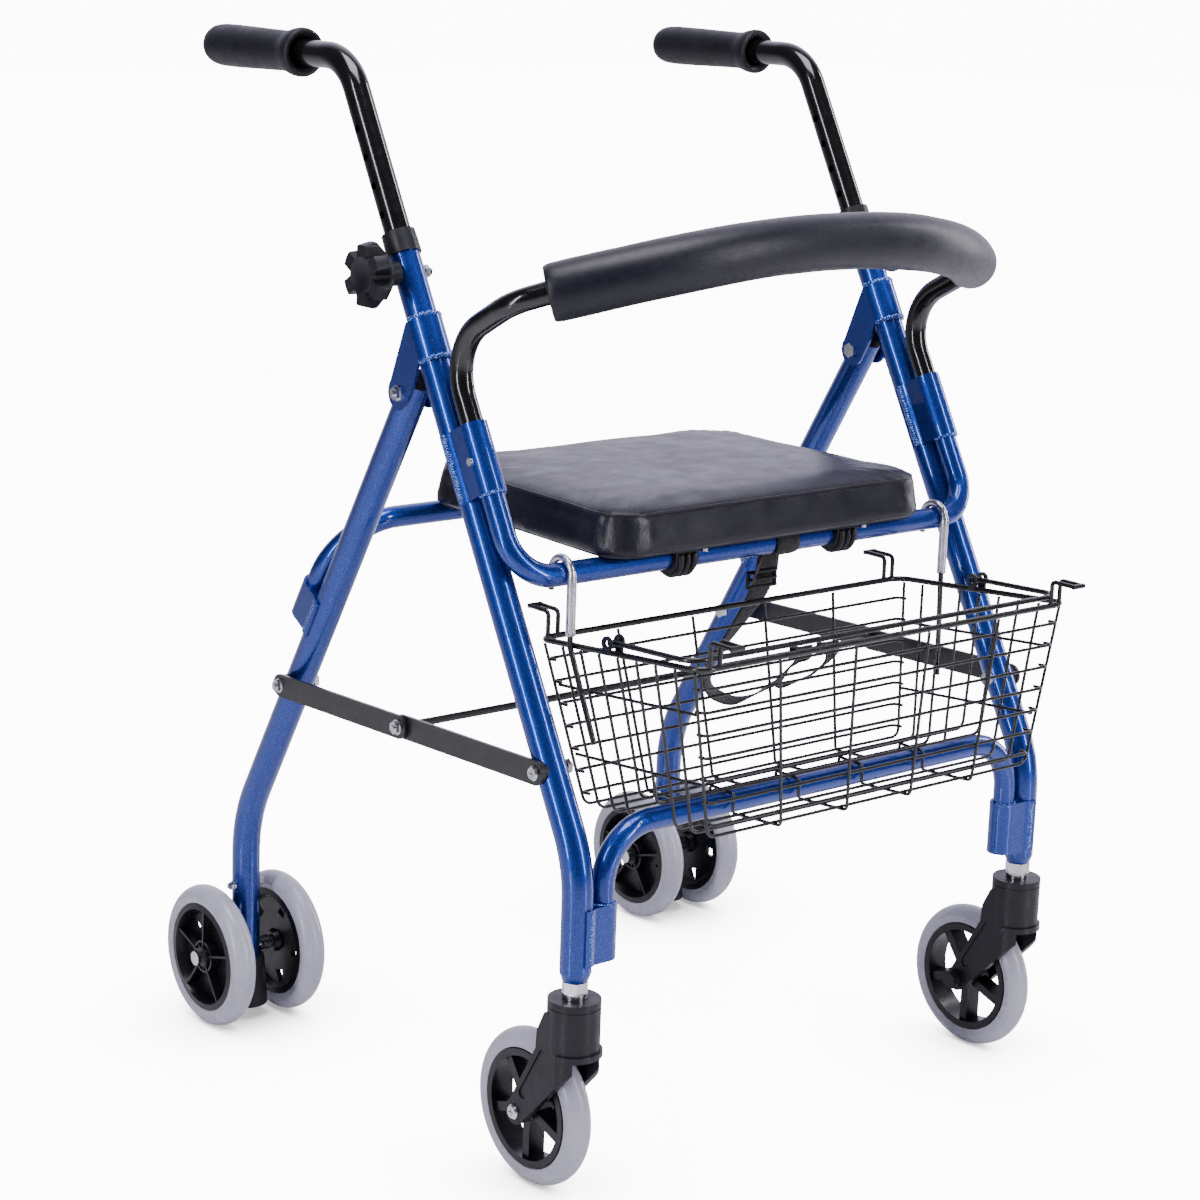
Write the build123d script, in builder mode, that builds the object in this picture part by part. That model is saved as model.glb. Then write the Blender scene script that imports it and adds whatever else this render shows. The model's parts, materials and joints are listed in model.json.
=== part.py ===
from build123d import *
import os
from math import cos, degrees, radians, sin

# Front wheeled walker with a padded seat, a wire basket and a folding rear frame.
# Millimetres. +Z is up, the walker's front faces -Y, X is its width. The origin is on the floor
# under the middle of the walker. The walker's right side is at -X, its left side at +X.

os.makedirs("parts", exist_ok=True)

SIDES = ((-1, "right"), (1, "left"))

# --- driving dimensions -------------------------------------------------------------------------
half_track = 254.4            # centre plane to the plane of one side frame
leg_r = 12.7                  # 25.4 mm leg tube
leg_wall = 1.4
tube_r = 9.5                  # 19 mm seat, cross and backrest tubes
tube_wall = 1.5
gap = 0.3                     # air between pieces of different bodies

lean_front = 28.8             # front leg, degrees from upright, top towards the rear
front_knee_y = -220.0         # where the slanted front leg's axis meets its upright foot
front_knee_z = 281.0
front_tip_z = 187.0
front_leg_length = 522.0      # from the knee up to the open top end
front_bend_r = 110.0

lean_rear = 30.2              # rear leg, degrees from upright, top towards the front
rear_knee_y = 258.0
rear_knee_z = 190.0
rear_tip_z = 50.0
pivot_up = 495.0              # from the rear knee up to the frame pivot
rear_leg_above_pivot = 11.0
rear_bend_r = 130.0

wheel_r = 65.0                # 130 mm wheels
wheel_w = 24.0
core_r = 50.0                 # where the grey tyre starts
axle_r = 4.0
caster_trail = 46.0
twin_offset = 37.0            # each rear wheel's middle from its leg's plane
brake_travel = 12.0           # the rubber tip's height above the floor

socket_r = 12.0               # outside of the extruded tube sockets
socket_offset = leg_r + socket_r
socket_top = -51.0            # along the front leg, measured from the foot of the pivot's perpendicular
socket_bottom = -108.6

handle_r = 11.0               # telescoping handle tube
handle_wall = 1.5
handle_top_z = 878.0
handle_bend_r = 48.0
hole_pitch = 25.0
handle_holes = 8
knob_z = 713.0
grip_r = 18.0
grip_start_y = 170.0
grip_end_y = 312.0

seat_front_y = -165.5
seat_rear_y = 118.0
seat_front_half = 184.0
seat_rear_half = 171.0
seat_bottom_z = 500.0
seat_top_z = 543.0
seat_corner_r = 36.0
seat_tube_z = 490.0
seat_tube_bend_r = 36.0

bar_height = 20.0
bar_thick = 3.0
front_bar_z = 349.0           # front bar's bolt on the front leg
rear_bar_z = 337.0            # rear bar's bolt on the rear leg
rod_r = 3.2

basket_top_half = 205.0
basket_low_half = 180.0
basket_rear_y = -100.0
basket_front_y = -296.0
basket_low_rear_y = -129.0
basket_low_front_y = -290.0
basket_rim_z = 429.5          # at the rear, the basket hangs a little nose up
basket_low_z = 294.0
basket_tilt = 0.0889
rim_wire_r = 2.5
wire_r = 1.35
hanger_x = 210.0
hanger_wire_r = 2.4

# --- directions and planes ----------------------------------------------------------------------
front_up = Vector(0, sin(radians(lean_front)), cos(radians(lean_front)))
rear_up = Vector(0, -sin(radians(lean_rear)), cos(radians(lean_rear)))
front_back = Vector(0, front_up.Z, -front_up.Y)       # square to the front leg, rearwards
rear_back = Vector(0, rear_up.Z, -rear_up.Y)          # square to the rear leg, rearwards

front_knee = Vector(0, front_knee_y, front_knee_z)
rear_knee = Vector(0, rear_knee_y, rear_knee_z)
pivot = rear_knee + rear_up * pivot_up
pivot_foot = front_knee + front_up * (pivot - front_knee).dot(front_up)
pivot_back = (pivot - pivot_foot).length


def on_front_leg(up, back=0.0, side=0):
    """A point along a front leg, `up` from the foot of the pivot's perpendicular."""
    return pivot_foot + front_up * up + front_back * back + Vector(side * half_track, 0, 0)


def front_leg_at_z(z, side=0):
    return front_knee + front_up * ((z - front_knee_z) / front_up.Z) + Vector(side * half_track, 0, 0)


def rear_leg_at_z(z, side=0):
    return rear_knee + rear_up * ((z - rear_knee_z) / rear_up.Z) + Vector(side * half_track, 0, 0)


def across_front_leg(up, back=0.0, side=0):
    """Plane square to the front leg: X is the width, Y points rearwards, Z runs up the leg."""
    return Plane(origin=on_front_leg(up, back, side), x_dir=(1, 0, 0), z_dir=front_up)


def across_rear_leg(point):
    return Plane(origin=point, x_dir=(1, 0, 0), z_dir=rear_up)


def mirrored(points):
    """The same points on the other side of the walker, in reverse order."""
    return [Vector(-p.X, p.Y, p.Z) for p in reversed(points)]


# --- shared shapes ------------------------------------------------------------------------------
def bent_tube(points, radii, outer, inner=0.0):
    """A round tube or wire along straight runs joined by tangent arcs."""
    with BuildLine(mode=Mode.PRIVATE) as path:
        if len(points) == 2:
            Line(*points)
        else:
            FilletPolyline(*points, radius=radii)
    with BuildSketch(Plane(origin=path.line @ 0, z_dir=path.line % 0), mode=Mode.PRIVATE) as ring:
        Circle(outer)
        if inner:
            Circle(inner, mode=Mode.SUBTRACT)
    sweep(ring.sketch, path=path.line)


def rod_between(start, end, radius, mode=Mode.ADD):
    """A round bar or a round hole from one point to another."""
    start, end = Vector(start), Vector(end)
    with BuildSketch(Plane(origin=start, z_dir=end - start), mode=Mode.PRIVATE) as section:
        Circle(radius)
    extrude(section.sketch, amount=(end - start).length, mode=mode)


def hex_between(start, end, across, mode=Mode.ADD):
    """A hexagon bar, as a nut or a bolt head, from one point to another."""
    start, end = Vector(start), Vector(end)
    with BuildSketch(Plane(origin=start, z_dir=end - start), mode=Mode.PRIVATE) as section:
        RegularPolygon(radius=across / 2, side_count=6, major_radius=False)
    extrude(section.sketch, amount=(end - start).length, mode=mode)


def flange_nut(face, side, flange_r, screw_r):
    """A hexagon nut with a round flange on `face`, the end of its screw standing out of it."""
    out = Vector(side, 0, 0)
    rod_between(face, face + out * 1.3, flange_r)
    hex_between(face + out * 1.3, face + out * 4.6, flange_r * 1.5)
    rod_between(face + out * 4.6, face + out * 6.4, screw_r)


def pan_head(face, side, radius):
    """A low round screw head on `face`, with a cross recess."""
    out = Vector(side, 0, 0)
    rod_between(face, face + out * 1.6, radius)
    head_plane = Plane(origin=face + out * 1.6, x_dir=(0, 1, 0), z_dir=(side, 0, 0))
    with BuildSketch(head_plane, mode=Mode.PRIVATE) as crown:
        Circle(radius)
    extrude(crown.sketch, amount=1.4, taper=40)
    with BuildSketch(head_plane, mode=Mode.PRIVATE) as recess:
        Rectangle(radius * 1.1, 1.1)
        Rectangle(1.1, radius * 1.1)
    extrude(recess.sketch, amount=2, mode=Mode.SUBTRACT)


def cross_bolt(point, side, inside, outside, radius, head_r, screw_head=False):
    """A bolt along X through a side frame, with a nut or a screw head outside and a nut inside."""
    inner = point - Vector(side * inside, 0, 0)
    outer = point + Vector(side * outside, 0, 0)
    rod_between(inner, outer, radius)
    if screw_head:
        pan_head(outer, side, head_r)
    else:
        flange_nut(outer, side, head_r, radius * 0.8)
    hex_between(inner, inner - Vector(side * 4.5, 0, 0), 2 * head_r - 1)


def x_hole(point, half_length, radius):
    """A round hole along X, centred on a point."""
    rod_between(
        (point.X - half_length, point.Y, point.Z), (point.X + half_length, point.Y, point.Z),
        radius, Mode.SUBTRACT,
    )


def save(shape, label):
    shape.part.label = label
    export_step(shape.part, f"parts/{label}.step")


# --- front legs ---------------------------------------------------------------------------------
bolt_r = 3.0
bolt_hole_r = 3.2
knob_point = front_leg_at_z(knob_z)
front_bar_point = front_leg_at_z(front_bar_z)
rear_bar_point = rear_leg_at_z(rear_bar_z)
hinge_mid = (front_bar_point + rear_bar_point) / 2
leg_top = front_knee + front_up * front_leg_length

with BuildPart() as front_legs:
    for side, _ in SIDES:
        x = Vector(side * half_track, 0, 0)
        tip = Vector(0, front_knee_y, front_tip_z)
        bent_tube([tip + x, front_knee + x, leg_top + x], front_bend_r, leg_r, leg_r - leg_wall)
        # swaged lower end that grips the caster stem
        with BuildSketch(Plane.XZ.offset(-front_knee_y), mode=Mode.PRIVATE) as swage:
            with Locations((side * half_track, 0)):
                Polygon(
                    (7.2, front_tip_z), (10.2, front_tip_z), (leg_r, front_tip_z + 7),
                    (leg_r, front_tip_z + 12), (7.2, front_tip_z + 12), align=None,
                )
        stem_axis = Axis((side * half_track, front_knee_y, 0), (0, 0, 1))
        with BuildSketch(Plane.XY.offset(front_tip_z), mode=Mode.PRIVATE) as tip_ring:
            with Locations((side * half_track, front_knee_y)):
                Circle(leg_r + 1)
        extrude(tip_ring.sketch, amount=7, mode=Mode.SUBTRACT)
        revolve(swage.sketch, axis=stem_axis)
        x_hole(knob_point + x, 20, bolt_hole_r)
        x_hole(front_bar_point + x, 20, bolt_hole_r)
save(front_legs, "front_legs")

# --- sheet metal clevis that carries the rear leg -----------------------------------------------
plate = 2.4
plate_in = leg_r + gap
plate_out = plate_in + plate
bracket_low = 13.0
bracket_high = 46.5
arm_end_r = 14.0

with BuildPart() as leg_brackets:
    for side, _ in SIDES:
        side_plane = Plane(
            origin=on_front_leg(0, 0, side) - Vector(plate_out, 0, 0), x_dir=front_back, z_dir=(1, 0, 0)
        )
        # in this plane X points rearwards from the leg's axis and Y runs down the leg
        down = 1 if side_plane.y_dir.dot(front_up) > 0 else -1
        with BuildSketch(side_plane, mode=Mode.PRIVATE) as arm:
            Polygon(
                (0, down * bracket_low), (0, down * bracket_high), (3, down * bracket_high),
                (pivot_back + 11.5, down * 8.0), (pivot_back - 5.0, down * -13.1), (14, down * -0.5),
                align=None,
            )
            with Locations((pivot_back, 0)):
                Circle(arm_end_r)
                Circle(bolt_hole_r, mode=Mode.SUBTRACT)
        for start in (0, plate_in + plate_out):
            extrude(arm.sketch.moved(Location((start, 0, 0))), amount=plate)
        with BuildSketch(across_front_leg(bracket_low, 0, side), mode=Mode.PRIVATE) as wrap:
            Circle(plate_out)
            Circle(leg_r + 0.02, mode=Mode.SUBTRACT)
            with Locations((0, 25)):
                Rectangle(60, 50, mode=Mode.SUBTRACT)
        extrude(wrap.sketch, amount=bracket_high - bracket_low)
save(leg_brackets, "leg_brackets")

# --- extruded sockets for the seat, backrest and cross tubes ------------------------------------
socket_bore = tube_r + 0.1
flange_r = leg_r + 2.2


def socket_section(toward):
    """Tube socket with a saddle and two flanges that hug the leg. The leg stands `toward` it along Y."""
    Circle(socket_r)
    with Locations((0, toward * socket_offset / 2)):
        Rectangle(2 * socket_r, socket_offset)
    with Locations((0, toward * socket_offset)):
        Circle(flange_r)
        with Locations((0, toward * (flange_r / 2 + 2))):
            Rectangle(3 * flange_r, flange_r, mode=Mode.SUBTRACT)
        Circle(leg_r + 0.02, mode=Mode.SUBTRACT)
    Circle(socket_bore, mode=Mode.SUBTRACT)


lower_socket_z = 201.0
lower_socket_height = 46.5
lower_socket_x = half_track - socket_offset
button_up = -81.0
button_r = 3.2
with BuildPart() as tube_sockets:
    for side, _ in SIDES:
        with BuildSketch(across_front_leg(socket_bottom, -socket_offset, side), mode=Mode.PRIVATE) as upper:
            socket_section(1)
        extrude(upper.sketch, amount=socket_top - socket_bottom)
        lower_plane = Plane(
            origin=(side * lower_socket_x, front_knee_y, lower_socket_z), x_dir=(0, 1, 0), z_dir=(0, 0, 1)
        )
        with BuildSketch(lower_plane, mode=Mode.PRIVATE) as lower:
            socket_section(-side)
        extrude(lower.sketch, amount=lower_socket_height)
        button_spot = on_front_leg(button_up, -socket_offset, side)
        rod_between(
            button_spot, button_spot + Vector(side * 30, 0, 0), button_r + 0.2, Mode.SUBTRACT
        )
save(tube_sockets, "tube_sockets")

# --- lower cross tube, seat tube and backrest ---------------------------------------------------
cross_tube_z = 306.0
with BuildPart() as lower_cross_tube:
    half = [
        Vector(-lower_socket_x, front_knee_y, lower_socket_z + 6),
        Vector(-lower_socket_x, front_knee_y, cross_tube_z),
    ]
    bent_tube(half + mirrored(half), 46, tube_r, tube_r - tube_wall)
save(lower_cross_tube, "lower_cross_tube")

seat_tube_up = (seat_tube_z - pivot_foot.Z + socket_offset * front_back.Z) / front_up.Z
seat_tube_point = on_front_leg(seat_tube_up, -socket_offset)
with BuildPart() as seat_tube:
    half = [
        on_front_leg(socket_bottom + 24, -socket_offset, -1),
        on_front_leg(seat_tube_up, -socket_offset, -1),
    ]
    bent_tube(half + mirrored(half), seat_tube_bend_r, tube_r, tube_r - tube_wall)
save(seat_tube, "seat_tube")

backrest_turn = Vector(-half_track, -117.0, 704.8)      # where the tube turns in towards the pad
backrest_bow = Vector(-152.0, -203.5, 748.0)            # corner of the pad's forward bow
backrest_elbow_z = 662.0
elbow_up = (backrest_elbow_z - pivot_foot.Z + socket_offset * front_back.Z) / front_up.Z
pad_end = backrest_turn + (backrest_bow - backrest_turn) * 0.235
pad_r = 23.0
with BuildPart() as backrest_tube:
    half = [
        on_front_leg(socket_bottom + 27, -socket_offset, -1),
        on_front_leg(elbow_up, -socket_offset, -1),
        backrest_turn,
        backrest_bow,
    ]
    bent_tube(half + mirrored(half), [45, 34, 240, 240, 34, 45], tube_r, tube_r - tube_wall)
    for side, _ in SIDES:
        spot = on_front_leg(button_up, -socket_offset, side)
        rod_between(spot, spot + Vector(side * 30, 0, 0), button_r + 0.2, Mode.SUBTRACT)
save(backrest_tube, "backrest_tube")

with BuildPart() as backrest_pad:
    half = [pad_end, backrest_bow]
    bent_tube(half + mirrored(half), 240, pad_r, tube_r + 0.05)
save(backrest_pad, "backrest_pad")

for side, name in SIDES:
    with BuildPart() as snap_button:
        spot = on_front_leg(button_up, -socket_offset, side)
        rod_between(spot + Vector(side * 4, 0, 0), spot + Vector(side * (socket_r + 1.6), 0, 0), button_r)
    save(snap_button, f"snap_button_{name}")

# --- collars, stems and fasteners on the front legs ---------------------------------------------
collar_height = 19.0
collar_r = 14.6
with BuildPart() as leg_collars:
    for side, _ in SIDES:
        x = Vector(side * half_track, 0, 0)
        base = leg_top + x - front_up * (collar_height - 5)
        with BuildSketch(Plane(origin=base, x_dir=(1, 0, 0), z_dir=front_up), mode=Mode.PRIVATE) as ring:
            Circle(collar_r)
        extrude(ring.sketch, amount=collar_height, taper=2)
        rod_between(base - front_up, leg_top + x + front_up * 0.05, leg_r + 0.02, Mode.SUBTRACT)
        rod_between(base, leg_top + x + front_up * 12, handle_r + gap, Mode.SUBTRACT)
save(leg_collars, "leg_collars")

stem_r = 7.0
fork_top_z = 172.6
with BuildPart() as caster_stems:
    for side, _ in SIDES:
        at = (side * half_track, front_knee_y)
        rod_between((*at, fork_top_z - 30), (*at, front_tip_z + 34), stem_r)
        rod_between((*at, fork_top_z + gap), (*at, fork_top_z + 5), 10.2)
        hex_between((*at, fork_top_z + 5), (*at, front_tip_z - 0.1), 19.0)
save(caster_stems, "caster_stems")

spacer_r = 9.0
front_bar_x = leg_r + 1.2                 # inner face of the front bars, from the leg's plane
rear_bar_x = front_bar_x + bar_thick + 0.5
with BuildPart() as frame_fasteners:
    for side, _ in SIDES:
        x = Vector(side * half_track, 0, 0)
        cross_bolt(pivot + x, side, plate_out, plate_out, bolt_r, 6.5)
        cross_bolt(front_bar_point + x, side, leg_r, front_bar_x + bar_thick, bolt_r, 6.0, screw_head=True)
        # weld nut for the height knob's screw, on the leg's inner side
        nut = knob_point + x - Vector(side * (leg_r + 0.02), 0, 0)
        hex_between(nut, nut - Vector(side * 5, 0, 0), 10)
        x_hole(nut, 14, bolt_r + 0.1)
save(frame_fasteners, "frame_fasteners")

with BuildPart() as front_bar_spacers:
    for side, _ in SIDES:
        spot = front_bar_point + Vector(side * (half_track + leg_r * 0.55), 0, 0)
        rod_between(spot, spot + Vector(side * (front_bar_x - leg_r * 0.55 - 0.05), 0, 0), spacer_r)
        rod_between(
            front_leg_at_z(300, side), front_leg_at_z(400, side), leg_r + 0.02, Mode.SUBTRACT
        )
        x_hole(spot, 12, bolt_hole_r)
save(front_bar_spacers, "front_bar_spacers")

# --- folding side bars and the rod that joins them ----------------------------------------------
def side_bar(start, end, x_inner, side, holes):
    """Flat bar with rounded ends between two points of a side frame, its inner face x_inner out."""
    along = end - start
    middle = (start + end) / 2
    x_low = half_track + x_inner if side > 0 else -half_track - x_inner - bar_thick
    plane = Plane(origin=(x_low, middle.Y, middle.Z), x_dir=along.normalized(), z_dir=(1, 0, 0))
    with BuildSketch(plane, mode=Mode.PRIVATE) as outline:
        SlotCenterToCenter(along.length, bar_height)
        with Locations((-along.length / 2, 0)):
            Circle(holes[0], mode=Mode.SUBTRACT)
        with Locations((along.length / 2, 0)):
            Circle(holes[1], mode=Mode.SUBTRACT)
    extrude(outline.sketch, amount=bar_thick)


with BuildPart() as front_bars:
    for side, _ in SIDES:
        side_bar(front_bar_point, hinge_mid, front_bar_x, side, (bolt_hole_r, bolt_hole_r))
save(front_bars, "front_bars")

with BuildPart() as rear_bars:
    for side, _ in SIDES:
        side_bar(rear_bar_point, hinge_mid, rear_bar_x, side, (bolt_hole_r, bolt_hole_r))
save(rear_bars, "rear_bars")

with BuildPart() as mid_hinge_nuts:
    for side, _ in SIDES:
        face = hinge_mid + Vector(side * (half_track + rear_bar_x + bar_thick), 0, 0)
        rod_between(face - Vector(side * bar_thick, 0, 0), face, bolt_hole_r - 0.05)
        flange_nut(face, side, 6.5, bolt_r * 0.8)
save(mid_hinge_nuts, "mid_hinge_nuts")

with BuildPart() as cross_rod:
    reach = half_track + front_bar_x
    rod_between(hinge_mid - Vector(reach - 0.1, 0, 0), hinge_mid + Vector(reach - 0.1, 0, 0), rod_r)
    for side, _ in SIDES:
        inner = hinge_mid + Vector(side * (reach - 0.1), 0, 0)
        rod_between(inner, inner + Vector(side * (bar_thick + 0.1), 0, 0), bolt_r)
        rod_between(inner - Vector(side * 6, 0, 0), inner, 6.5)
save(cross_rod, "cross_rod")

# --- rear frame ---------------------------------------------------------------------------------
rear_leg_top = pivot + rear_up * rear_leg_above_pivot
rear_socket_z = 416.0
rear_socket_length = 37.0
rear_cross_z = 490.0
axle_z = wheel_r
pin_z = 127.0
slot_top = axle_z + brake_travel

with BuildPart() as rear_legs:
    for side, _ in SIDES:
        x = Vector(side * half_track, 0, 0)
        tip = Vector(0, rear_knee_y, rear_tip_z)
        bent_tube([tip + x, rear_knee + x, rear_leg_top + x], rear_bend_r, leg_r, leg_r - leg_wall)
        x_hole(pivot + x, 20, bolt_r + 0.06)
        x_hole(rear_bar_point + x, 20, bolt_hole_r)
        x_hole(Vector(side * half_track, rear_knee_y, pin_z), 20, 2.6)
        # upright slot that lets the axle rise when the brake is pressed
        slot_plane = Plane(
            origin=(side * half_track - 20, rear_knee_y, axle_z + brake_travel / 2),
            x_dir=(0, 0, 1), z_dir=(1, 0, 0),
        )
        with BuildSketch(slot_plane, mode=Mode.PRIVATE) as slot:
            SlotCenterToCenter(brake_travel, 2 * (axle_r + gap))
        extrude(slot.sketch, amount=40, mode=Mode.SUBTRACT)
save(rear_legs, "rear_legs")

rear_socket_axis = rear_leg_at_z(rear_socket_z - socket_offset * rear_back.Z) + rear_back * socket_offset
with BuildPart() as rear_sockets:
    for side, _ in SIDES:
        low = rear_socket_axis - rear_up * (rear_socket_length / 2) + Vector(side * half_track, 0, 0)
        with BuildSketch(across_rear_leg(low), mode=Mode.PRIVATE) as section:
            socket_section(-1)
        extrude(section.sketch, amount=rear_socket_length)
save(rear_sockets, "rear_sockets")

rear_cross_up = (rear_cross_z - rear_socket_axis.Z) / rear_up.Z
with BuildPart() as rear_cross_tube:
    x = Vector(-half_track, 0, 0)
    half = [
        rear_socket_axis - rear_up * (rear_socket_length / 2 - 5) + x,
        rear_socket_axis + rear_up * rear_cross_up + x,
    ]
    bent_tube(half + mirrored(half), 58, tube_r, tube_r - tube_wall)
save(rear_cross_tube, "rear_cross_tube")

tip_r = 20.0
tip_top_z = 60.0
with BuildPart() as rear_leg_ends:
    for side, _ in SIDES:
        x = Vector(side * half_track, 0, 0)
        # domed plastic plug in the top of the leg
        cap_plane = Plane(origin=rear_leg_top + x, x_dir=(1, 0, 0), z_dir=rear_up)
        with BuildSketch(cap_plane, mode=Mode.PRIVATE) as cap:
            Circle(leg_r)
        extrude(cap.sketch, amount=5.5, taper=28)
        # rubber tip under the leg
        with BuildSketch(Plane.XY.offset(brake_travel), mode=Mode.PRIVATE) as foot:
            with Locations((x.X, rear_knee_y)):
                Circle(tip_r)
        extrude(foot.sketch, amount=tip_top_z - 3 - brake_travel, taper=4)
        rod_between(
            (x.X, rear_knee_y, rear_tip_z), (x.X, rear_knee_y, tip_top_z), leg_r + 0.02, Mode.SUBTRACT,
        )
save(rear_leg_ends, "rear_leg_ends")

with BuildPart() as rear_fasteners:
    for side, _ in SIDES:
        x = Vector(side * half_track, 0, 0)
        cross_bolt(rear_bar_point + x, side, leg_r, rear_bar_x + bar_thick, bolt_r, 6.5)
        cross_bolt(Vector(x.X, rear_knee_y, pin_z), side, leg_r, leg_r, 2.5, 4.5)
save(rear_fasteners, "rear_fasteners")

with BuildPart() as rear_bar_spacers:
    for side, _ in SIDES:
        spot = rear_bar_point + Vector(side * (half_track + leg_r * 0.55), 0, 0)
        rod_between(spot, spot + Vector(side * (rear_bar_x - leg_r * 0.55 - 0.05), 0, 0), spacer_r)
        rod_between(rear_leg_at_z(290, side), rear_leg_at_z(390, side), leg_r + 0.02, Mode.SUBTRACT)
        x_hole(spot, 14, bolt_hole_r)
save(rear_bar_spacers, "rear_bar_spacers")

# --- brake springs, axles and rear wheels -------------------------------------------------------
spring_r = 7.0
spring_wire_r = 0.9
carrier_r = 9.8
carrier_top = axle_z + 12.0
spring_low = carrier_top + spring_wire_r + 0.2
spring_high = pin_z - 2.5 - spring_wire_r - 1.2
spring_turns = 6
with BuildPart() as brake_springs:
    for side, _ in SIDES:
        with BuildLine(mode=Mode.PRIVATE) as coil:
            Helix(
                pitch=(spring_high - spring_low) / spring_turns, height=spring_high - spring_low,
                radius=spring_r, center=(side * half_track, rear_knee_y, spring_low),
            )
        with BuildSketch(Plane(origin=coil.line @ 0, z_dir=coil.line % 0), mode=Mode.PRIVATE) as wire:
            Circle(spring_wire_r)
        sweep(wire.sketch, path=coil.line)
save(brake_springs, "brake_springs")

axle_half = twin_offset + wheel_w / 2 + 2.0
for side, name in SIDES:
    with BuildPart() as rear_axle:
        at = Vector(side * half_track, rear_knee_y, axle_z)
        rod_between(at - Vector(axle_half, 0, 0), at + Vector(axle_half, 0, 0), axle_r)
        rod_between(at - Vector(0, 0, 9), at + Vector(0, 0, carrier_top - axle_z), carrier_r)
        for end in (-1, 1):
            tip = at + Vector(end * axle_half, 0, 0)
            rod_between(tip, tip + Vector(end * 3.5, 0, 0), 6.5)
            spacer = at + Vector(end * (leg_r + 0.6), 0, 0)
            rod_between(spacer, spacer + Vector(end * (twin_offset - leg_r - wheel_w / 2 - 1.5), 0, 0), 6.5)
    save(rear_axle, f"rear_axle_{name}")


def wheel_profile(kind, at, out):
    """Half section of a tyre or core about an axle along X, revolved about it."""
    half = wheel_w / 2
    with BuildSketch(Plane(origin=at, x_dir=(1, 0, 0), z_dir=(0, -1, 0)), mode=Mode.PRIVATE) as section:
        if kind == "tyre":
            with BuildLine():
                Polyline((-half + 1.6, core_r), (-half, wheel_r - 9.5))
                ThreePointArc((-half, wheel_r - 9.5), (0, wheel_r), (half, wheel_r - 9.5))
                Polyline(
                    (half, wheel_r - 9.5), (half - 1.6, core_r), (7, core_r - 1), (-7, core_r - 1),
                    (-half + 1.6, core_r),
                )
            make_face()
        else:
            with BuildLine():
                Polyline(
                    (-half + 1.5, 9), (-half + 1.5, axle_r + 0.06),
                    (half - 1.5, axle_r + 0.06), (half - 1.5, 9),
                    (2.5 - out * 3, 11), (2.5 - out * 3, 40), (half - 1, 44), (half - 2, core_r - 0.4),
                    (7, core_r - 1.1), (-7, core_r - 1.1), (-half + 2, core_r - 0.4), (-half + 1, 44),
                    (-2.5 - out * 3, 40), (-2.5 - out * 3, 11), (-half + 1.5, 9),
                )
            make_face()
    revolve(section.sketch, axis=Axis(at, (1, 0, 0)))


ribs = 5
for side, name in SIDES:
    for out, place in ((-1, "inner"), (1, "outer")):
        at = Vector(side * (half_track + out * twin_offset), rear_knee_y, axle_z)
        face = side * out
        with BuildPart() as wheel_core:
            wheel_profile("core", at, face)
            # raised ribs on the dished outer face
            for turn in range(ribs):
                angle = radians(20 + turn * 360 / ribs)
                inner = at + Vector(face * 4, 9 * cos(angle), 9 * sin(angle))
                outer = at + Vector(face * 4, 45 * cos(angle), 45 * sin(angle))
                rib_plane = Plane(origin=inner, x_dir=(1, 0, 0), z_dir=outer - inner)
                with BuildSketch(rib_plane, mode=Mode.PRIVATE) as rib:
                    Rectangle(11, 2.0)
                extrude(rib.sketch, amount=36)
                # window through the web beside each rib, out by the rim
                lean = angle + radians(19)
                window_at = at + Vector(0, 34 * cos(lean), 34 * sin(lean))
                window_plane = Plane(
                    origin=window_at - Vector(14, 0, 0), x_dir=(0, cos(lean), sin(lean)), z_dir=(1, 0, 0)
                )
                with BuildSketch(window_plane, mode=Mode.PRIVATE) as window:
                    Trapezoid(11, 12, 80, rotation=-90)
                extrude(window.sketch, amount=28, mode=Mode.SUBTRACT)
            # raised ring round the hub, with a circle of small moulded pockets inside it
            hub_face = at + Vector(face * 1, 0, 0)
            ring_plane = Plane(origin=hub_face, x_dir=(0, 1, 0), z_dir=(face, 0, 0))
            with BuildSketch(ring_plane, mode=Mode.PRIVATE) as hub_ring:
                Circle(15.0)
                Circle(13.0, mode=Mode.SUBTRACT)
            extrude(hub_ring.sketch, amount=8.0)
            with BuildSketch(ring_plane, mode=Mode.PRIVATE) as hub_webs:
                with PolarLocations(11.0, 8):
                    Rectangle(6.5, 1.6)
            extrude(hub_webs.sketch, amount=7.2)
        save(wheel_core, f"rear_core_{name}_{place}")
        with BuildPart() as tyre:
            wheel_profile("tyre", at, face)
        save(tyre, f"rear_tyre_{name}_{place}")

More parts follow.
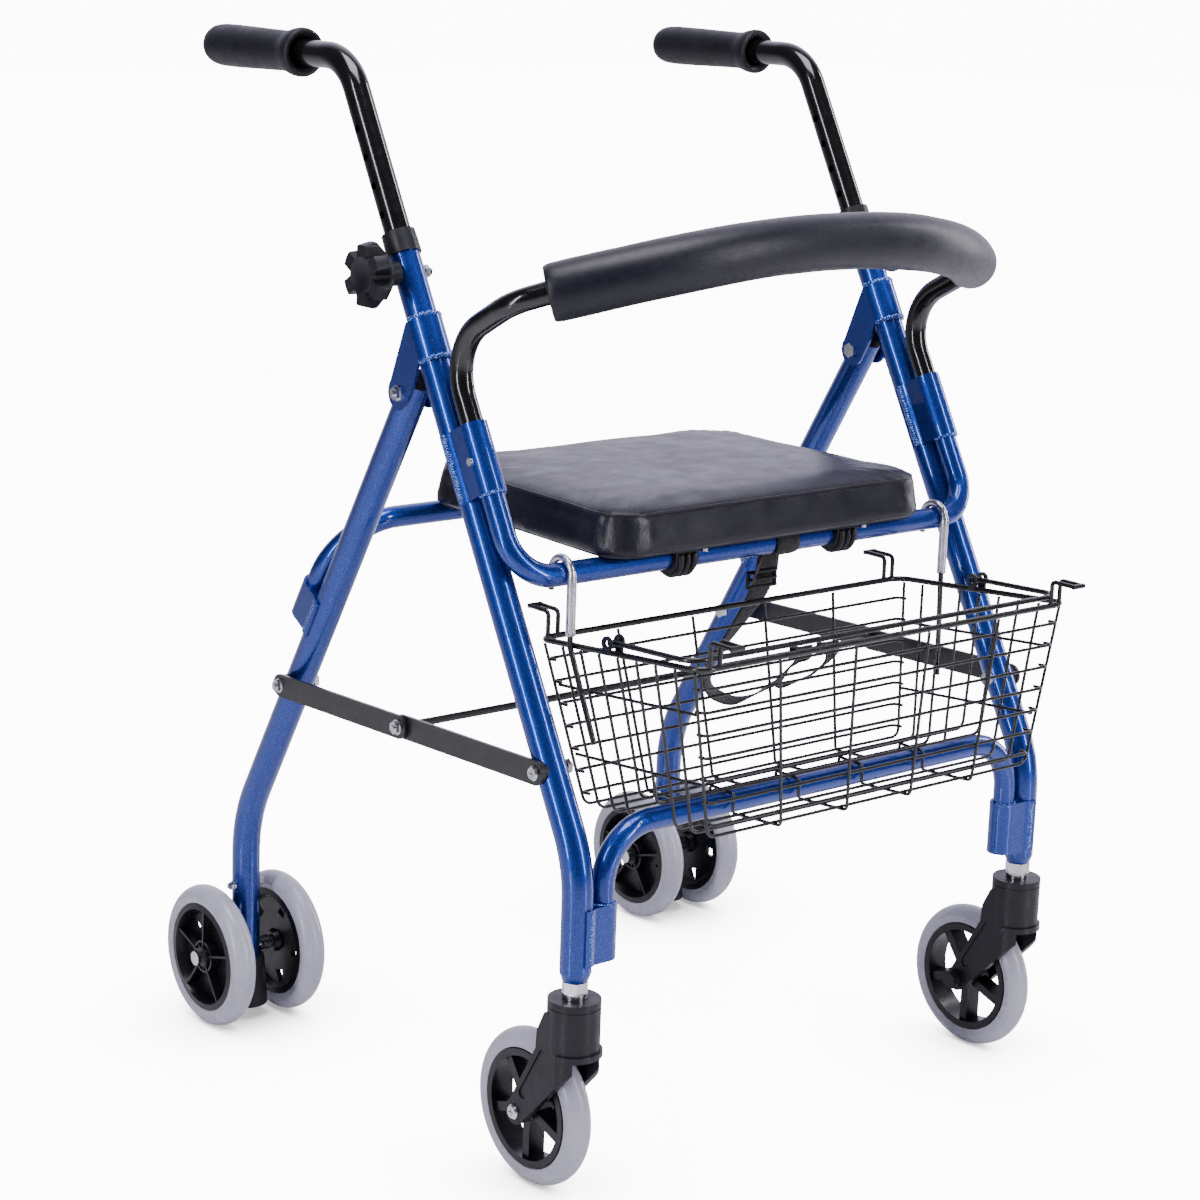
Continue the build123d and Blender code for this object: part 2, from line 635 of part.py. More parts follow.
# --- front casters ------------------------------------------------------------------------------
fork_r = 21.4
fork_low_z = 129.0
arm_in = wheel_w / 2 + 1.6
arm_out = arm_in + 7.4
boss_r = 11.0
caster_y = front_knee_y + caster_trail
for side, name in SIDES:
    centre_x = side * half_track
    at = Vector(centre_x, caster_y, wheel_r)
    with BuildPart() as caster_fork:
        rod_between((centre_x, front_knee_y, fork_low_z), (centre_x, front_knee_y, fork_top_z), fork_r)
        rod_between(
            (centre_x, front_knee_y, fork_top_z - 31), (centre_x, front_knee_y, fork_top_z + 1),
            stem_r + 0.06, Mode.SUBTRACT,
        )
        # arms from the housing down to the axle, one on each side of the wheel, wrapped round it
        for hand in (-1, 1):
            x_low = centre_x + (arm_in if hand > 0 else -arm_out)
            arm_plane = Plane(origin=(x_low, front_knee_y, 0), x_dir=(0, 1, 0), z_dir=(1, 0, 0))
            with BuildSketch(arm_plane, mode=Mode.PRIVATE) as arm:
                with BuildLine():
                    FilletPolyline(
                        (-12, 140), (-21, 131), (-24, 125), (-20, 119), (caster_trail - 8, wheel_r - 8),
                        (caster_trail + 10, wheel_r + 2), (21, 128), (20, 144), (11, 162), (0, 162),
                        radius=3, close=True,
                    )
                make_face()
                with Locations((caster_trail, wheel_r)):
                    Circle(boss_r)
                    Circle(axle_r + 0.02, mode=Mode.SUBTRACT)
            # seen from above the arms run on from the round housing
            with BuildSketch(Plane.XY.offset(wheel_r - 20), mode=Mode.PRIVATE) as from_above:
                with Locations((centre_x, front_knee_y)):
                    Circle(fork_r)
                with Locations((centre_x, caster_y + 30)):
                    Circle(arm_out)
                make_hull()
            blank = extrude(arm.sketch, amount=arm_out - arm_in, mode=Mode.PRIVATE)
            add(blank & extrude(from_above.sketch, amount=130, mode=Mode.PRIVATE))
            # teardrop recess in the arm's outer face
            recess_x = centre_x + (arm_out - 1.2 if hand > 0 else -arm_out)
            recess_plane = Plane(origin=(recess_x, front_knee_y, 0), x_dir=(0, 1, 0), z_dir=(1, 0, 0))
            with BuildSketch(recess_plane, mode=Mode.PRIVATE) as recess:
                with Locations((10, 122)):
                    Circle(7.5)
                with Locations((36, 84)):
                    Circle(4.5)
                make_hull()
            extrude(recess.sketch, amount=1.2, mode=Mode.SUBTRACT)
        # closed cap over the axle's nut, on the inner side
        nut_cap = at - Vector(side * arm_out, 0, 0)
        rod_between(nut_cap, nut_cap - Vector(side * 8.0, 0, 0), 8.2)
        rod_between(nut_cap, nut_cap - Vector(side * 9.2, 0, 0), 7.2)
        # joint line under the housing's cap
        with BuildSketch(Plane.XY.offset(fork_top_z - 6.5), mode=Mode.PRIVATE) as groove:
            with Locations((centre_x, front_knee_y)):
                Circle(fork_r + 1)
                Circle(fork_r - 0.6, mode=Mode.SUBTRACT)
        extrude(groove.sketch, amount=0.8, mode=Mode.SUBTRACT)
        # rolled lip round the front of the housing's lower edge
        with BuildSketch(Plane.XY.offset(fork_low_z - 3.5), mode=Mode.PRIVATE) as lip:
            with Locations((centre_x, front_knee_y)):
                Circle(fork_r + 2.2)
                Circle(fork_r - 4, mode=Mode.SUBTRACT)
            with Locations((centre_x, front_knee_y + 20)):
                Rectangle(60, 52, mode=Mode.SUBTRACT)
        extrude(lip.sketch, amount=5.0)
        # wheel arch under the housing
        arch = at - Vector(arm_in, 0, 0)
        rod_between(arch, arch + Vector(2 * arm_in, 0, 0), wheel_r + 2.5, Mode.SUBTRACT)
    save(caster_fork, f"caster_fork_{name}")
    with BuildPart() as caster_axle:
        rod_between(at - Vector(arm_out, 0, 0), at + Vector(arm_out, 0, 0), axle_r)
        pan_head(at + Vector(side * arm_out, 0, 0), side, 6.2)
    save(caster_axle, f"caster_axle_{name}")
    with BuildPart() as caster_core:
        # rim, hub and five spokes with open windows between them
        rim_ring = (43.0, core_r - 1.1, wheel_w / 2 - 1)
        hub_tube = (axle_r + 0.06, 11.0, wheel_w / 2 - 0.4)
        for low, high, half in (rim_ring, hub_tube):
            ring_plane = Plane(origin=at - Vector(half, 0, 0), x_dir=(0, 1, 0), z_dir=(1, 0, 0))
            with BuildSketch(ring_plane, mode=Mode.PRIVATE) as ring:
                Circle(high)
                Circle(low, mode=Mode.SUBTRACT)
            extrude(ring.sketch, amount=2 * half)
        for turn in range(ribs):
            angle = radians(54 + turn * 360 / ribs)
            inner = at + Vector(0, 9.5 * cos(angle), 9.5 * sin(angle))
            outer = at + Vector(0, 44 * cos(angle), 44 * sin(angle))
            spoke_plane = Plane(origin=inner, x_dir=(1, 0, 0), z_dir=outer - inner)
            with BuildSketch(spoke_plane, mode=Mode.PRIVATE) as spoke:
                Rectangle(16, 8)
            extrude(spoke.sketch, amount=34.5)
    save(caster_core, f"caster_core_{name}")
    with BuildPart() as caster_tyre:
        wheel_profile("tyre", at, 1)
    save(caster_tyre, f"caster_tyre_{name}")

# --- handles ------------------------------------------------------------------------------------
handle_corner = front_leg_at_z(handle_top_z)
handle_low = knob_point - front_up * (hole_pitch * 2 + 32)
knob_hub_x = leg_r + 0.6
knob_head_x = 28.0
knob_face_x = 47.0
knob_r = 27.0
knob_lobes = 6
knob_lobe_back = 8.0          # over this depth the lobes slope back to the hub
for side, name in SIDES:
    x = Vector(side * half_track, 0, 0)
    with BuildPart() as handle_tube:
        bent_tube(
            [handle_low + x, handle_corner + x, Vector(x.X, grip_end_y - 6, handle_top_z)],
            handle_bend_r, handle_r, handle_r - handle_wall,
        )
        for step in range(handle_holes):
            x_hole(knob_point + x + front_up * (hole_pitch * (step - 2)), 15, bolt_hole_r)
    save(handle_tube, f"handle_tube_{name}")
    with BuildPart() as grip:
        rod_between((x.X, grip_start_y, handle_top_z), (x.X, grip_end_y, handle_top_z), grip_r)
        fillet(grip.edges().sort_by(Axis.Y)[-1:], 9)
        fillet(grip.edges().sort_by(Axis.Y)[:1], 3)
        rod_between(
            (x.X, grip_start_y - 1, handle_top_z), (x.X, grip_end_y - 5.9, handle_top_z), handle_r + 0.05,
            Mode.SUBTRACT,
        )
    save(grip, f"grip_{name}")

# --- height knobs: a six-lobed head on a screw, the right one a mirror image of the left one ------
knob_axis = knob_point + Vector(half_track, 0, 0)
knob_hub = knob_axis + Vector(knob_hub_x, 0, 0)
knob_head = knob_axis + Vector(knob_head_x, 0, 0)
knob_face = knob_axis + Vector(knob_face_x, 0, 0)
star_plane = Plane(origin=knob_head, x_dir=(0, 0, 1), z_dir=(1, 0, 0))
with BuildPart() as left_knob:
    with BuildSketch(star_plane, mode=Mode.PRIVATE) as star:
        Circle(knob_r * 0.6)
        with PolarLocations(knob_r * 0.6, knob_lobes):
            RectangleRounded(knob_r * 0.8, knob_r * 0.52, 4)
    extrude(star.sketch, amount=knob_face_x - knob_head_x, taper=3)
    # the lobes slope back to the hub and round off towards the face
    with BuildSketch(star_plane, mode=Mode.PRIVATE) as outline:
        Circle(knob_r - knob_lobe_back)
    back = extrude(outline.sketch, amount=knob_lobe_back, taper=-45, mode=Mode.PRIVATE)
    with BuildSketch(star_plane.offset(knob_lobe_back), mode=Mode.PRIVATE) as edge:
        Circle(knob_r)
    depth = knob_face_x - knob_head_x - knob_lobe_back
    front = extrude(edge.sketch, amount=depth, taper=14, mode=Mode.PRIVATE)
    add(back + front, mode=Mode.INTERSECT)
    # hollow in the outer face
    with Locations(knob_face + Vector(29, 0, 0)):
        Sphere(32.5, mode=Mode.SUBTRACT)
    rod_between(knob_hub, knob_head + Vector(4, 0, 0), 10.0)
    rod_between(knob_axis - Vector(leg_r + 8, 0, 0), knob_hub, bolt_r)
save(left_knob, "star_knob_left")
with BuildPart() as right_knob:
    add(mirror(left_knob.part, about=Plane.YZ, mode=Mode.PRIVATE))
save(right_knob, "star_knob_right")

# --- seat ---------------------------------------------------------------------------------------
board_inset = 9.0
board_thick = 9.0


def seat_outline(inset):
    Polygon(
        (-seat_front_half + inset, seat_front_y + inset), (seat_front_half - inset, seat_front_y + inset),
        (seat_rear_half - inset, seat_rear_y - inset), (-seat_rear_half + inset, seat_rear_y - inset),
        align=None,
    )


with BuildPart() as seat_cushion:
    with BuildSketch(Plane.XY.offset(seat_bottom_z)) as outline:
        seat_outline(0)
        fillet(outline.vertices(), seat_corner_r)
    extrude(amount=seat_top_z - seat_bottom_z)
    fillet(seat_cushion.faces().sort_by(Axis.Z)[-1].edges(), 6)
    with BuildSketch(Plane.XY.offset(seat_bottom_z)) as pocket:
        seat_outline(board_inset - 0.05)
        fillet(pocket.vertices(), seat_corner_r - board_inset)
    extrude(amount=board_thick + 0.05, mode=Mode.SUBTRACT)
save(seat_cushion, "seat_cushion")

with BuildPart() as seat_board:
    with BuildSketch(Plane.XY.offset(seat_bottom_z)) as outline:
        seat_outline(board_inset)
        fillet(outline.vertices(), seat_corner_r - board_inset)
    extrude(amount=board_thick)
save(seat_board, "seat_board")

clip_x = 90.5
clip_width = 24.0
clip_r = tube_r + 4.0
tab_length = 15.0
with BuildPart() as seat_clips:
    for side, _ in SIDES:
        start_x = side * clip_x - clip_width / 2
        across = Plane(origin=(start_x, seat_tube_point.Y, seat_tube_z), x_dir=(0, 1, 0), z_dir=(1, 0, 0))
        rise = seat_bottom_z - seat_tube_z - 0.05
        with BuildSketch(across, mode=Mode.PRIVATE) as saddle:
            Circle(clip_r)
            with Locations((0, rise / 2)):
                Rectangle(2 * clip_r, rise)
            with Locations((0, rise + 15)):
                Rectangle(3 * clip_r, 30, mode=Mode.SUBTRACT)
            Circle(tube_r + 0.08, mode=Mode.SUBTRACT)
            with Locations((0, rise)):
                Rectangle(2 * (tube_r + 0.08), 2 * rise, mode=Mode.SUBTRACT)
        extrude(saddle.sketch, amount=clip_width)
        # flat tab beside the saddle for its screw
        with BuildSketch(Plane.XY.offset(seat_bottom_z - 2.45), mode=Mode.PRIVATE) as tab:
            tab_x = side * clip_x + clip_width / 2 + tab_length / 2 - 3
            with Locations((tab_x, seat_tube_point.Y - clip_r + 1.5)):
                Rectangle(tab_length + 6, 6.8)
        extrude(tab.sketch, amount=2.4)
save(seat_clips, "seat_clips")

with BuildPart() as seat_screws:
    for side, _ in SIDES:
        spot = (side * clip_x + clip_width / 2 + 7.5, seat_tube_point.Y - clip_r + 1.5)
        rod_between((*spot, seat_bottom_z - 5), (*spot, seat_bottom_z - 2.5), 3.0)
save(seat_screws, "seat_screws")

# --- fold strap: webbing from the seat tube round the cross rod and back ------------------------
strap_x = 15.0
strap_width = 26.0
strap_thick = 2.0
with BuildPart() as fold_strap:
    low_y = hinge_mid.Y
    strap_plane = Plane(origin=(strap_x, 0, 0), x_dir=(0, 1, 0), z_dir=(1, 0, 0))
    with BuildSketch(strap_plane, mode=Mode.PRIVATE) as webbing:
        with BuildLine():
            FilletPolyline(
                (seat_tube_point.Y + 11, seat_tube_z - 4), (seat_tube_point.Y + 19, seat_tube_z - 24),
                (basket_rear_y + 12, basket_rim_z), (low_y - 38, hinge_mid.Z + 2),
                (low_y - 20, hinge_mid.Z - 34), (low_y + 2, hinge_mid.Z - 6),
                radius=[12, 12, 24, 12],
            )
            offset(amount=strap_thick / 2)
        make_face()
    extrude(webbing.sketch, amount=strap_width)
save(fold_strap, "fold_strap")


# --- wire basket --------------------------------------------------------------------------------
def rim_z(y):
    return basket_rim_z + (basket_rear_y - y) * basket_tilt


def low_z(y):
    return basket_low_z + (basket_low_rear_y - y) * basket_tilt


def panel_point(x_part, depth, front):
    """A point on the front or rear panel: x_part from -1 to 1 across, depth from 0 at the rim to 1."""
    top_y = basket_front_y if front else basket_rear_y
    low_y = basket_low_front_y if front else basket_low_rear_y
    half = basket_top_half + (basket_low_half - basket_top_half) * depth
    y = top_y + (low_y - top_y) * depth
    return Vector(x_part * half, y, rim_z(top_y) + (low_z(low_y) - rim_z(top_y)) * depth)


def side_point(along, depth, side):
    """A point on a side panel: along from 0 at the rear to 1 at the front."""
    rear = panel_point(side, depth, False)
    front = panel_point(side, depth, True)
    return rear + (front - rear) * along


panel_rows = 7
panel_columns = 4
side_rows = 2
side_columns = 9
with BuildPart() as basket_rim:
    for side, _ in SIDES:
        half = [
            panel_point(0, 0, False), panel_point(side, 0, False),
            panel_point(side, 0, True), panel_point(0, 0, True),
        ]
        bent_tube(half, 14, rim_wire_r)
    # four bent wire ears, two at the rear and two at the front
    for side, _ in SIDES:
        for front, reach in ((False, 24), (True, -24)):
            foot = panel_point(side * 0.93, 0, front)
            for step in (-5, 5):
                a = foot + Vector(step, 0, 1)
                b = foot + Vector(step, 0, 21)
                c = b + Vector(0, reach, 0)
                bent_tube([a, b, c], 4, 1.9)
            tip = foot + Vector(0, reach, 21)
            rod_between(tip - Vector(6.6, 0, 0), tip + Vector(6.6, 0, 0), 2.1)
save(basket_rim, "basket_rim")

hump_z = cross_tube_z + tube_r + wire_r + 0.4
hump_half = tube_r + 4.5
wire_lap = 2 * wire_r - 0.35        # centre to centre where two wires are welded
wire_pass = 2 * wire_r + 0.05       # centre to centre where they only meet
bend_rise = 12.0                    # the end wires' bends, up from the floor
bend_run = 11.0                     # the side wires' bends, in from the side


def above_bend(top, foot):
    """The point of an upright wire just above the bend at its foot."""
    return foot + (top - foot).normalized() * bend_rise


def cross_wire(column):
    """Tops and feet of one wire that runs down one side, across the floor and up the other."""
    along = 0.035 + 0.93 * column / (side_columns - 1)
    tops = [side_point(along, 0.022, side) for side, _ in SIDES]
    feet = [side_point(along, 1.0, side) for side, _ in SIDES]
    if abs(feet[0].Y - front_knee_y) < 12:
        # the one over the lower cross tube stays above it
        floor_z = hump_z + wire_lap
        depth = (rim_z(feet[0].Y) - floor_z) / (rim_z(feet[0].Y) - low_z(feet[0].Y))
        feet = [side_point(along, depth, side) for side, _ in SIDES]
    return tops, feet


def long_wire(column):
    """Tops and feet of one wire that runs down the rear, along the floor and up the front."""
    part_x = -1 + 2 * (column + 1) / (panel_columns + 1)
    drop = Vector(0, 0, -wire_lap)
    tops = [panel_point(part_x, 0.022, front) for front in (False, True)]
    feet = [panel_point(part_x, 1.0, front) + drop for front in (False, True)]
    return tops, feet


with BuildPart() as basket_side_wires:
    for column in range(side_columns):
        for (side, _), top, foot in zip(SIDES, *cross_wire(column)):
            bent_tube([top, foot, foot - Vector(side * bend_run, 0, 0)], 9, wire_r)
    for side, _ in SIDES:
        for row in range(side_rows):
            depth = 0.27 + 0.42 * row
            shift = Vector(-side * 1.5 * wire_r, 0, 0)
            rod_between(side_point(0.05, depth, side) + shift, side_point(0.95, depth, side) + shift, wire_r)
save(basket_side_wires, "basket_side_wires")

with BuildPart() as basket_end_wires:
    for column in range(panel_columns):
        for top, foot in zip(*long_wire(column)):
            rod_between(top, above_bend(top, foot), wire_r)
    # level wires of the rear and the front, bent in at the corners
    for front in (False, True):
        inward = 1 if front else -1
        for row in range(panel_rows):
            depth = 0.12 + row * (0.93 - 0.12) / (panel_rows - 1)
            level = []
            for side, _ in SIDES:
                tuck = Vector(-side * wire_pass, 0, 0)
                corner = panel_point(side, depth, front) + tuck + Vector(0, inward * 1.5 * wire_r, 0)
                bend = corner + Vector(0, inward * 10, inward * 10 * -basket_tilt)
                level += [bend, corner] if side < 0 else [corner, bend]
            bent_tube(level, 5, wire_r)
save(basket_end_wires, "basket_end_wires")

with BuildPart() as basket_floor_wires:
    for column in range(side_columns):
        tops, (right_foot, left_foot) = cross_wire(column)
        rod_between(right_foot + Vector(bend_run, 0, 0), left_foot - Vector(bend_run, 0, 0), wire_r)
    # the wires lengthwise hump over the lower cross tube
    for column in range(panel_columns):
        tops, (rear, front) = long_wire(column)
        humps = []
        for y in (front_knee_y + hump_half, front_knee_y - hump_half):
            share = (y - rear.Y) / (front.Y - rear.Y)
            humps.append(rear + (front - rear) * share)
        over = [Vector(point.X, point.Y, hump_z) for point in humps]
        bent_tube(
            [
                above_bend(tops[0], rear), rear, humps[0], over[0], over[1], humps[1], front,
                above_bend(tops[1], front),
            ],
            [4.5, 2.5, 2.5, 2.5, 2.5, 4.5], wire_r,
        )
save(basket_floor_wires, "basket_floor_wires")

hook_r = tube_r + hanger_wire_r + 1.0
hanger_low = 352.0
bail_wire_r = 2.3
bail_y = -194.0
bail_pivot_z = rim_z(bail_y) + 9.0
bail_x = basket_top_half + 0.5
bail_front_y = basket_front_y + 9.0
with BuildPart() as basket_hangers:
    for side, _ in SIDES:
        x = side * hanger_x
        y0 = seat_tube_point.Y
        rim_spot = side_point((y0 - hook_r - basket_rear_y) / (basket_front_y - basket_rear_y), 0, side)
        low_part = (rim_z(y0) - hanger_low) / (rim_z(y0) - basket_low_z)
        low_spot = side_point(0.26, low_part, side)
        outside = Vector(side * (rim_wire_r + hanger_wire_r + 0.1), 0, 0)
        bent_tube(
            [
                Vector(x, y0 + hook_r, seat_tube_z - 15), Vector(x, y0 + hook_r, seat_tube_z + hook_r),
                Vector(x, y0 - hook_r, seat_tube_z + hook_r), rim_spot + outside, low_spot + outside,
            ],
            [hook_r - 0.6, hook_r - 0.6, 20], hanger_wire_r,
        )
    # pairs of small eyes on the rim that carry the bail
    for side, _ in SIDES:
        for step in (-6.2, 6.2):
            spot = Vector(side * bail_x + step, bail_y, bail_pivot_z)
            eye_plane = Plane(origin=spot - Vector(1.2, 0, 0), x_dir=(0, 1, 0), z_dir=(1, 0, 0))
            with BuildSketch(eye_plane, mode=Mode.PRIVATE) as eye:
                Circle(bail_wire_r + 3.6)
                with Locations((0, -4.5)):
                    Rectangle(2 * (bail_wire_r + 1.6), 9)
                Circle(bail_wire_r + 0.4, mode=Mode.SUBTRACT)
            extrude(eye.sketch, amount=2.4)
save(basket_hangers, "basket_hangers")

with BuildPart() as hanger_sleeves:
    for side, _ in SIDES:
        x = side * hanger_x
        y0 = seat_tube_point.Y
        rim_spot = side_point((y0 - hook_r - basket_rear_y) / (basket_front_y - basket_rear_y), 0, side)
        top = Vector(x, y0 - hook_r, seat_tube_z + hook_r)
        low = rim_spot + Vector(side * (rim_wire_r + hanger_wire_r + 0.1), 0, 0)
        down = (low - top).normalized()
        sleeve_start = top + down * (hook_r + 3)
        sleeve_end = low - down * 9
        rod_between(sleeve_start, sleeve_end, hanger_wire_r + 0.65)
        rod_between(sleeve_start - down, sleeve_end + down, hanger_wire_r + 0.02, Mode.SUBTRACT)
save(hanger_sleeves, "hanger_sleeves")

with BuildPart() as bail_handle:
    half = [
        Vector(-bail_x, bail_y, bail_pivot_z),
        Vector(-bail_x, bail_front_y, rim_z(bail_front_y) + rim_wire_r + bail_wire_r + 1.0),
    ]
    bent_tube(half + mirrored(half), 16, bail_wire_r)
    for side, _ in SIDES:
        end = Vector(side * bail_x, bail_y, bail_pivot_z)
        rod_between(end - Vector(4.4, 0, 0), end + Vector(4.4, 0, 0), bail_wire_r)
save(bail_handle, "bail_handle")
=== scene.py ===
"""Front wheeled walker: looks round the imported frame. Metres, +Z up, front is -Y."""

import json
import math

import bpy
from mathutils import Matrix, Vector
from mathutils import noise as mnoise
from mathutils.bvhtree import BVHTree


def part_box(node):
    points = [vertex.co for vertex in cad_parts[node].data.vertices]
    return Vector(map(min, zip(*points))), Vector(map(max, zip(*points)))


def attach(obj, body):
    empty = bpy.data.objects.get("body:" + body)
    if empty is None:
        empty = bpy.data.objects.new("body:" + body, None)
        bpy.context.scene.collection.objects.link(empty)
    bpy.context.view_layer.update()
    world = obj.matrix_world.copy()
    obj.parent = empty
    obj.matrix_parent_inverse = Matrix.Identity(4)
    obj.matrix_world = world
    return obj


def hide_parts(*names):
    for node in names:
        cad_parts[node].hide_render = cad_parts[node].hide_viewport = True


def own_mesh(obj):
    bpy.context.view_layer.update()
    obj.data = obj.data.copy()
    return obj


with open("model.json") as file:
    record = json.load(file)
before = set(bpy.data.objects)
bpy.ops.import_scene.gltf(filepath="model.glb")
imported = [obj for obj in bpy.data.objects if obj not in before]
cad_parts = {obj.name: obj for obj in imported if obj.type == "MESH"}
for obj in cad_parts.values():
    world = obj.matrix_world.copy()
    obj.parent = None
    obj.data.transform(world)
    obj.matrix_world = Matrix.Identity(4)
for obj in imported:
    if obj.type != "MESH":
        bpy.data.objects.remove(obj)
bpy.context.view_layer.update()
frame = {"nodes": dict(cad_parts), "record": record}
NODES = frame["nodes"]

# --- key points of the frame ---------------------------------------------------------------------
TRACK = 0.2544                         # middle to leg axis
LEAN_FRONT = math.radians(28.8)
LEAN_REAR = math.radians(30.2)
FRONT_UP = Vector((0, math.sin(LEAN_FRONT), math.cos(LEAN_FRONT)))
FRONT_BACK = Vector((0, math.cos(LEAN_FRONT), -math.sin(LEAN_FRONT)))
REAR_UP = Vector((0, -math.sin(LEAN_REAR), math.cos(LEAN_REAR)))
REAR_BACK = Vector((0, math.cos(LEAN_REAR), math.sin(LEAN_REAR)))
KNEE = Vector((0, -0.220, 0.281))
REAR_KNEE = Vector((0, 0.258, 0.190))
PIVOT_REACH = 0.495                    # rear knee to the main pivot
PIVOT = REAR_KNEE + REAR_UP * PIVOT_REACH
PIVOT_FOOT = KNEE + FRONT_UP * (PIVOT - KNEE).dot(FRONT_UP)
LEG_R = 0.0127
SOCKET_R = 0.012
SOCKET_OFFSET = LEG_R + SOCKET_R
SEAT_TUBE = Vector((0, -0.13329, 0.490))
SIDES = ((-1, "right"), (1, "left"))


def on_front_leg(up, back=0.0, side=0):
    return PIVOT_FOOT + FRONT_UP * up + FRONT_BACK * back + Vector((side * TRACK, 0, 0))


# --- material helpers ----------------------------------------------------------------------------
# socket numbers of the Mix node: two inputs and the result, for colours and for numbers
MIX_COLOUR_A, MIX_COLOUR_B, MIX_COLOUR_OUT = 6, 7, 2
MIX_NUMBER_A, MIX_NUMBER_B, MIX_NUMBER_OUT = 2, 3, 0
WHITE = (1.0, 1.0, 1.0, 1)


def new_material(name):
    material = bpy.data.materials.new(name)
    material.use_nodes = True
    tree = material.node_tree
    shader = tree.nodes["Principled BSDF"]
    return material, tree, shader


def coords(tree, scale=(1, 1, 1)):
    place = tree.nodes.new("ShaderNodeTexCoord")
    mapping = tree.nodes.new("ShaderNodeMapping")
    mapping.inputs["Scale"].default_value = scale
    tree.links.new(place.outputs["Object"], mapping.inputs["Vector"])
    return mapping.outputs["Vector"]


def noise(tree, vector, scale, detail=3.0, rough=0.5):
    made = tree.nodes.new("ShaderNodeTexNoise")
    made.inputs["Scale"].default_value = scale
    made.inputs["Detail"].default_value = detail
    made.inputs["Roughness"].default_value = rough
    tree.links.new(vector, made.inputs["Vector"])
    return made.outputs["Fac"]


def voronoi(tree, vector, scale, feature="F1", output="Distance"):
    made = tree.nodes.new("ShaderNodeTexVoronoi")
    made.feature = feature
    made.inputs["Scale"].default_value = scale
    tree.links.new(vector, made.inputs["Vector"])
    return made.outputs[output]


def ramp(tree, fac, stops):
    made = tree.nodes.new("ShaderNodeValToRGB")
    elements = made.color_ramp.elements
    elements[0].position, elements[0].color = stops[0]
    elements[1].position, elements[1].color = stops[-1]
    for position, colour in stops[1:-1]:
        element = elements.new(position)
        element.color = colour
    tree.links.new(fac, made.inputs["Fac"])
    return made.outputs["Color"]


def spread(tree, fac, low, high, from_low=0.3, from_high=0.7):
    made = tree.nodes.new("ShaderNodeMapRange")
    made.inputs["From Min"].default_value = from_low
    made.inputs["From Max"].default_value = from_high
    made.inputs["To Min"].default_value = low
    made.inputs["To Max"].default_value = high
    tree.links.new(fac, made.inputs["Value"])
    return made.outputs["Result"]


def bump(tree, height, strength, distance, normal=None):
    made = tree.nodes.new("ShaderNodeBump")
    made.inputs["Strength"].default_value = strength
    made.inputs["Distance"].default_value = distance
    tree.links.new(height, made.inputs["Height"])
    if normal is not None:
        tree.links.new(normal, made.inputs["Normal"])
    return made.outputs["Normal"]


def grey(value, blue=0.0):
    return (value, value, value * (1 + blue), 1)


def metallic_paint():
    """Blue metallic lacquer with fine flakes under a clear coat."""
    material, tree, shader = new_material("blue_flake_lacquer")
    at = coords(tree)
    flakes = voronoi(tree, at, 2600, output="Color")
    split = tree.nodes.new("ShaderNodeSeparateColor")
    tree.links.new(flakes, split.inputs["Color"])
    cloud = noise(tree, at, 26, 2)
    base = ramp(tree, split.outputs["Red"], [
        (0.0, (0.003, 0.026, 0.21, 1)), (0.6, (0.004, 0.036, 0.29, 1)),
        (0.9, (0.010, 0.060, 0.40, 1)), (1.0, (0.05, 0.15, 0.60, 1)),
    ])
    tint = ramp(tree, cloud, [(0.3, (0.92, 0.92, 0.95, 1)), (0.7, (1.06, 1.06, 1.04, 1))])
    mix = tree.nodes.new("ShaderNodeMix")
    mix.data_type = "RGBA"
    mix.blend_type = "MULTIPLY"
    mix.inputs["Factor"].default_value = 1.0
    tree.links.new(base, mix.inputs[MIX_COLOUR_A])
    tree.links.new(tint, mix.inputs[MIX_COLOUR_B])
    tree.links.new(mix.outputs[MIX_COLOUR_OUT], shader.inputs["Base Color"])
    tree.links.new(spread(tree, split.outputs["Green"], 0.32, 0.44, 0, 1), shader.inputs["Roughness"])
    shader.inputs["Metallic"].default_value = 0.85
    shader.inputs["Coat Weight"].default_value = 1.0
    shader.inputs["Coat Roughness"].default_value = 0.03
    flake_bump = bump(tree, split.outputs["Blue"], 0.05, 0.0001)
    tree.links.new(flake_bump, shader.inputs["Normal"])
    peel = bump(tree, noise(tree, at, 180, 1), 0.03, 0.0003)
    tree.links.new(peel, shader.inputs["Coat Normal"])
    return material


def black_gloss(name, base=0.0022, rough=(0.14, 0.22), coat=0.5):
    """Gloss black powder coat with faint orange peel and dust."""
    material, tree, shader = new_material(name)
    at = coords(tree)
    broad = noise(tree, at, 40, 3)
    tree.links.new(
        ramp(tree, broad, [(0.3, grey(base)), (0.75, grey(base * 2.1))]),
        shader.inputs["Base Color"],
    )
    tree.links.new(spread(tree, noise(tree, at, 120, 4), *rough), shader.inputs["Roughness"])
    shader.inputs["Coat Weight"].default_value = coat
    shader.inputs["Coat Roughness"].default_value = 0.06
    tree.links.new(bump(tree, noise(tree, at, 300, 2), 0.035, 0.0003), shader.inputs["Normal"])
    return material


def moulded(name, base=0.0055, rough=(0.34, 0.48), grain=1500, depth=0.08, spec=0.38):
    """Moulded black plastic: fine spark-eroded grain and slight sheen changes."""
    material, tree, shader = new_material(name)
    at = coords(tree)
    tree.links.new(
        ramp(tree, noise(tree, at, 35, 4), [(0.3, grey(base, 0.5)), (0.75, grey(base * 1.9, 0.5))]),
        shader.inputs["Base Color"],
    )
    tree.links.new(spread(tree, noise(tree, at, 90, 4), *rough), shader.inputs["Roughness"])
    shader.inputs["Specular IOR Level"].default_value = spec
    tree.links.new(bump(tree, noise(tree, at, grain, 2), depth, 0.0003), shader.inputs["Normal"])
    return material


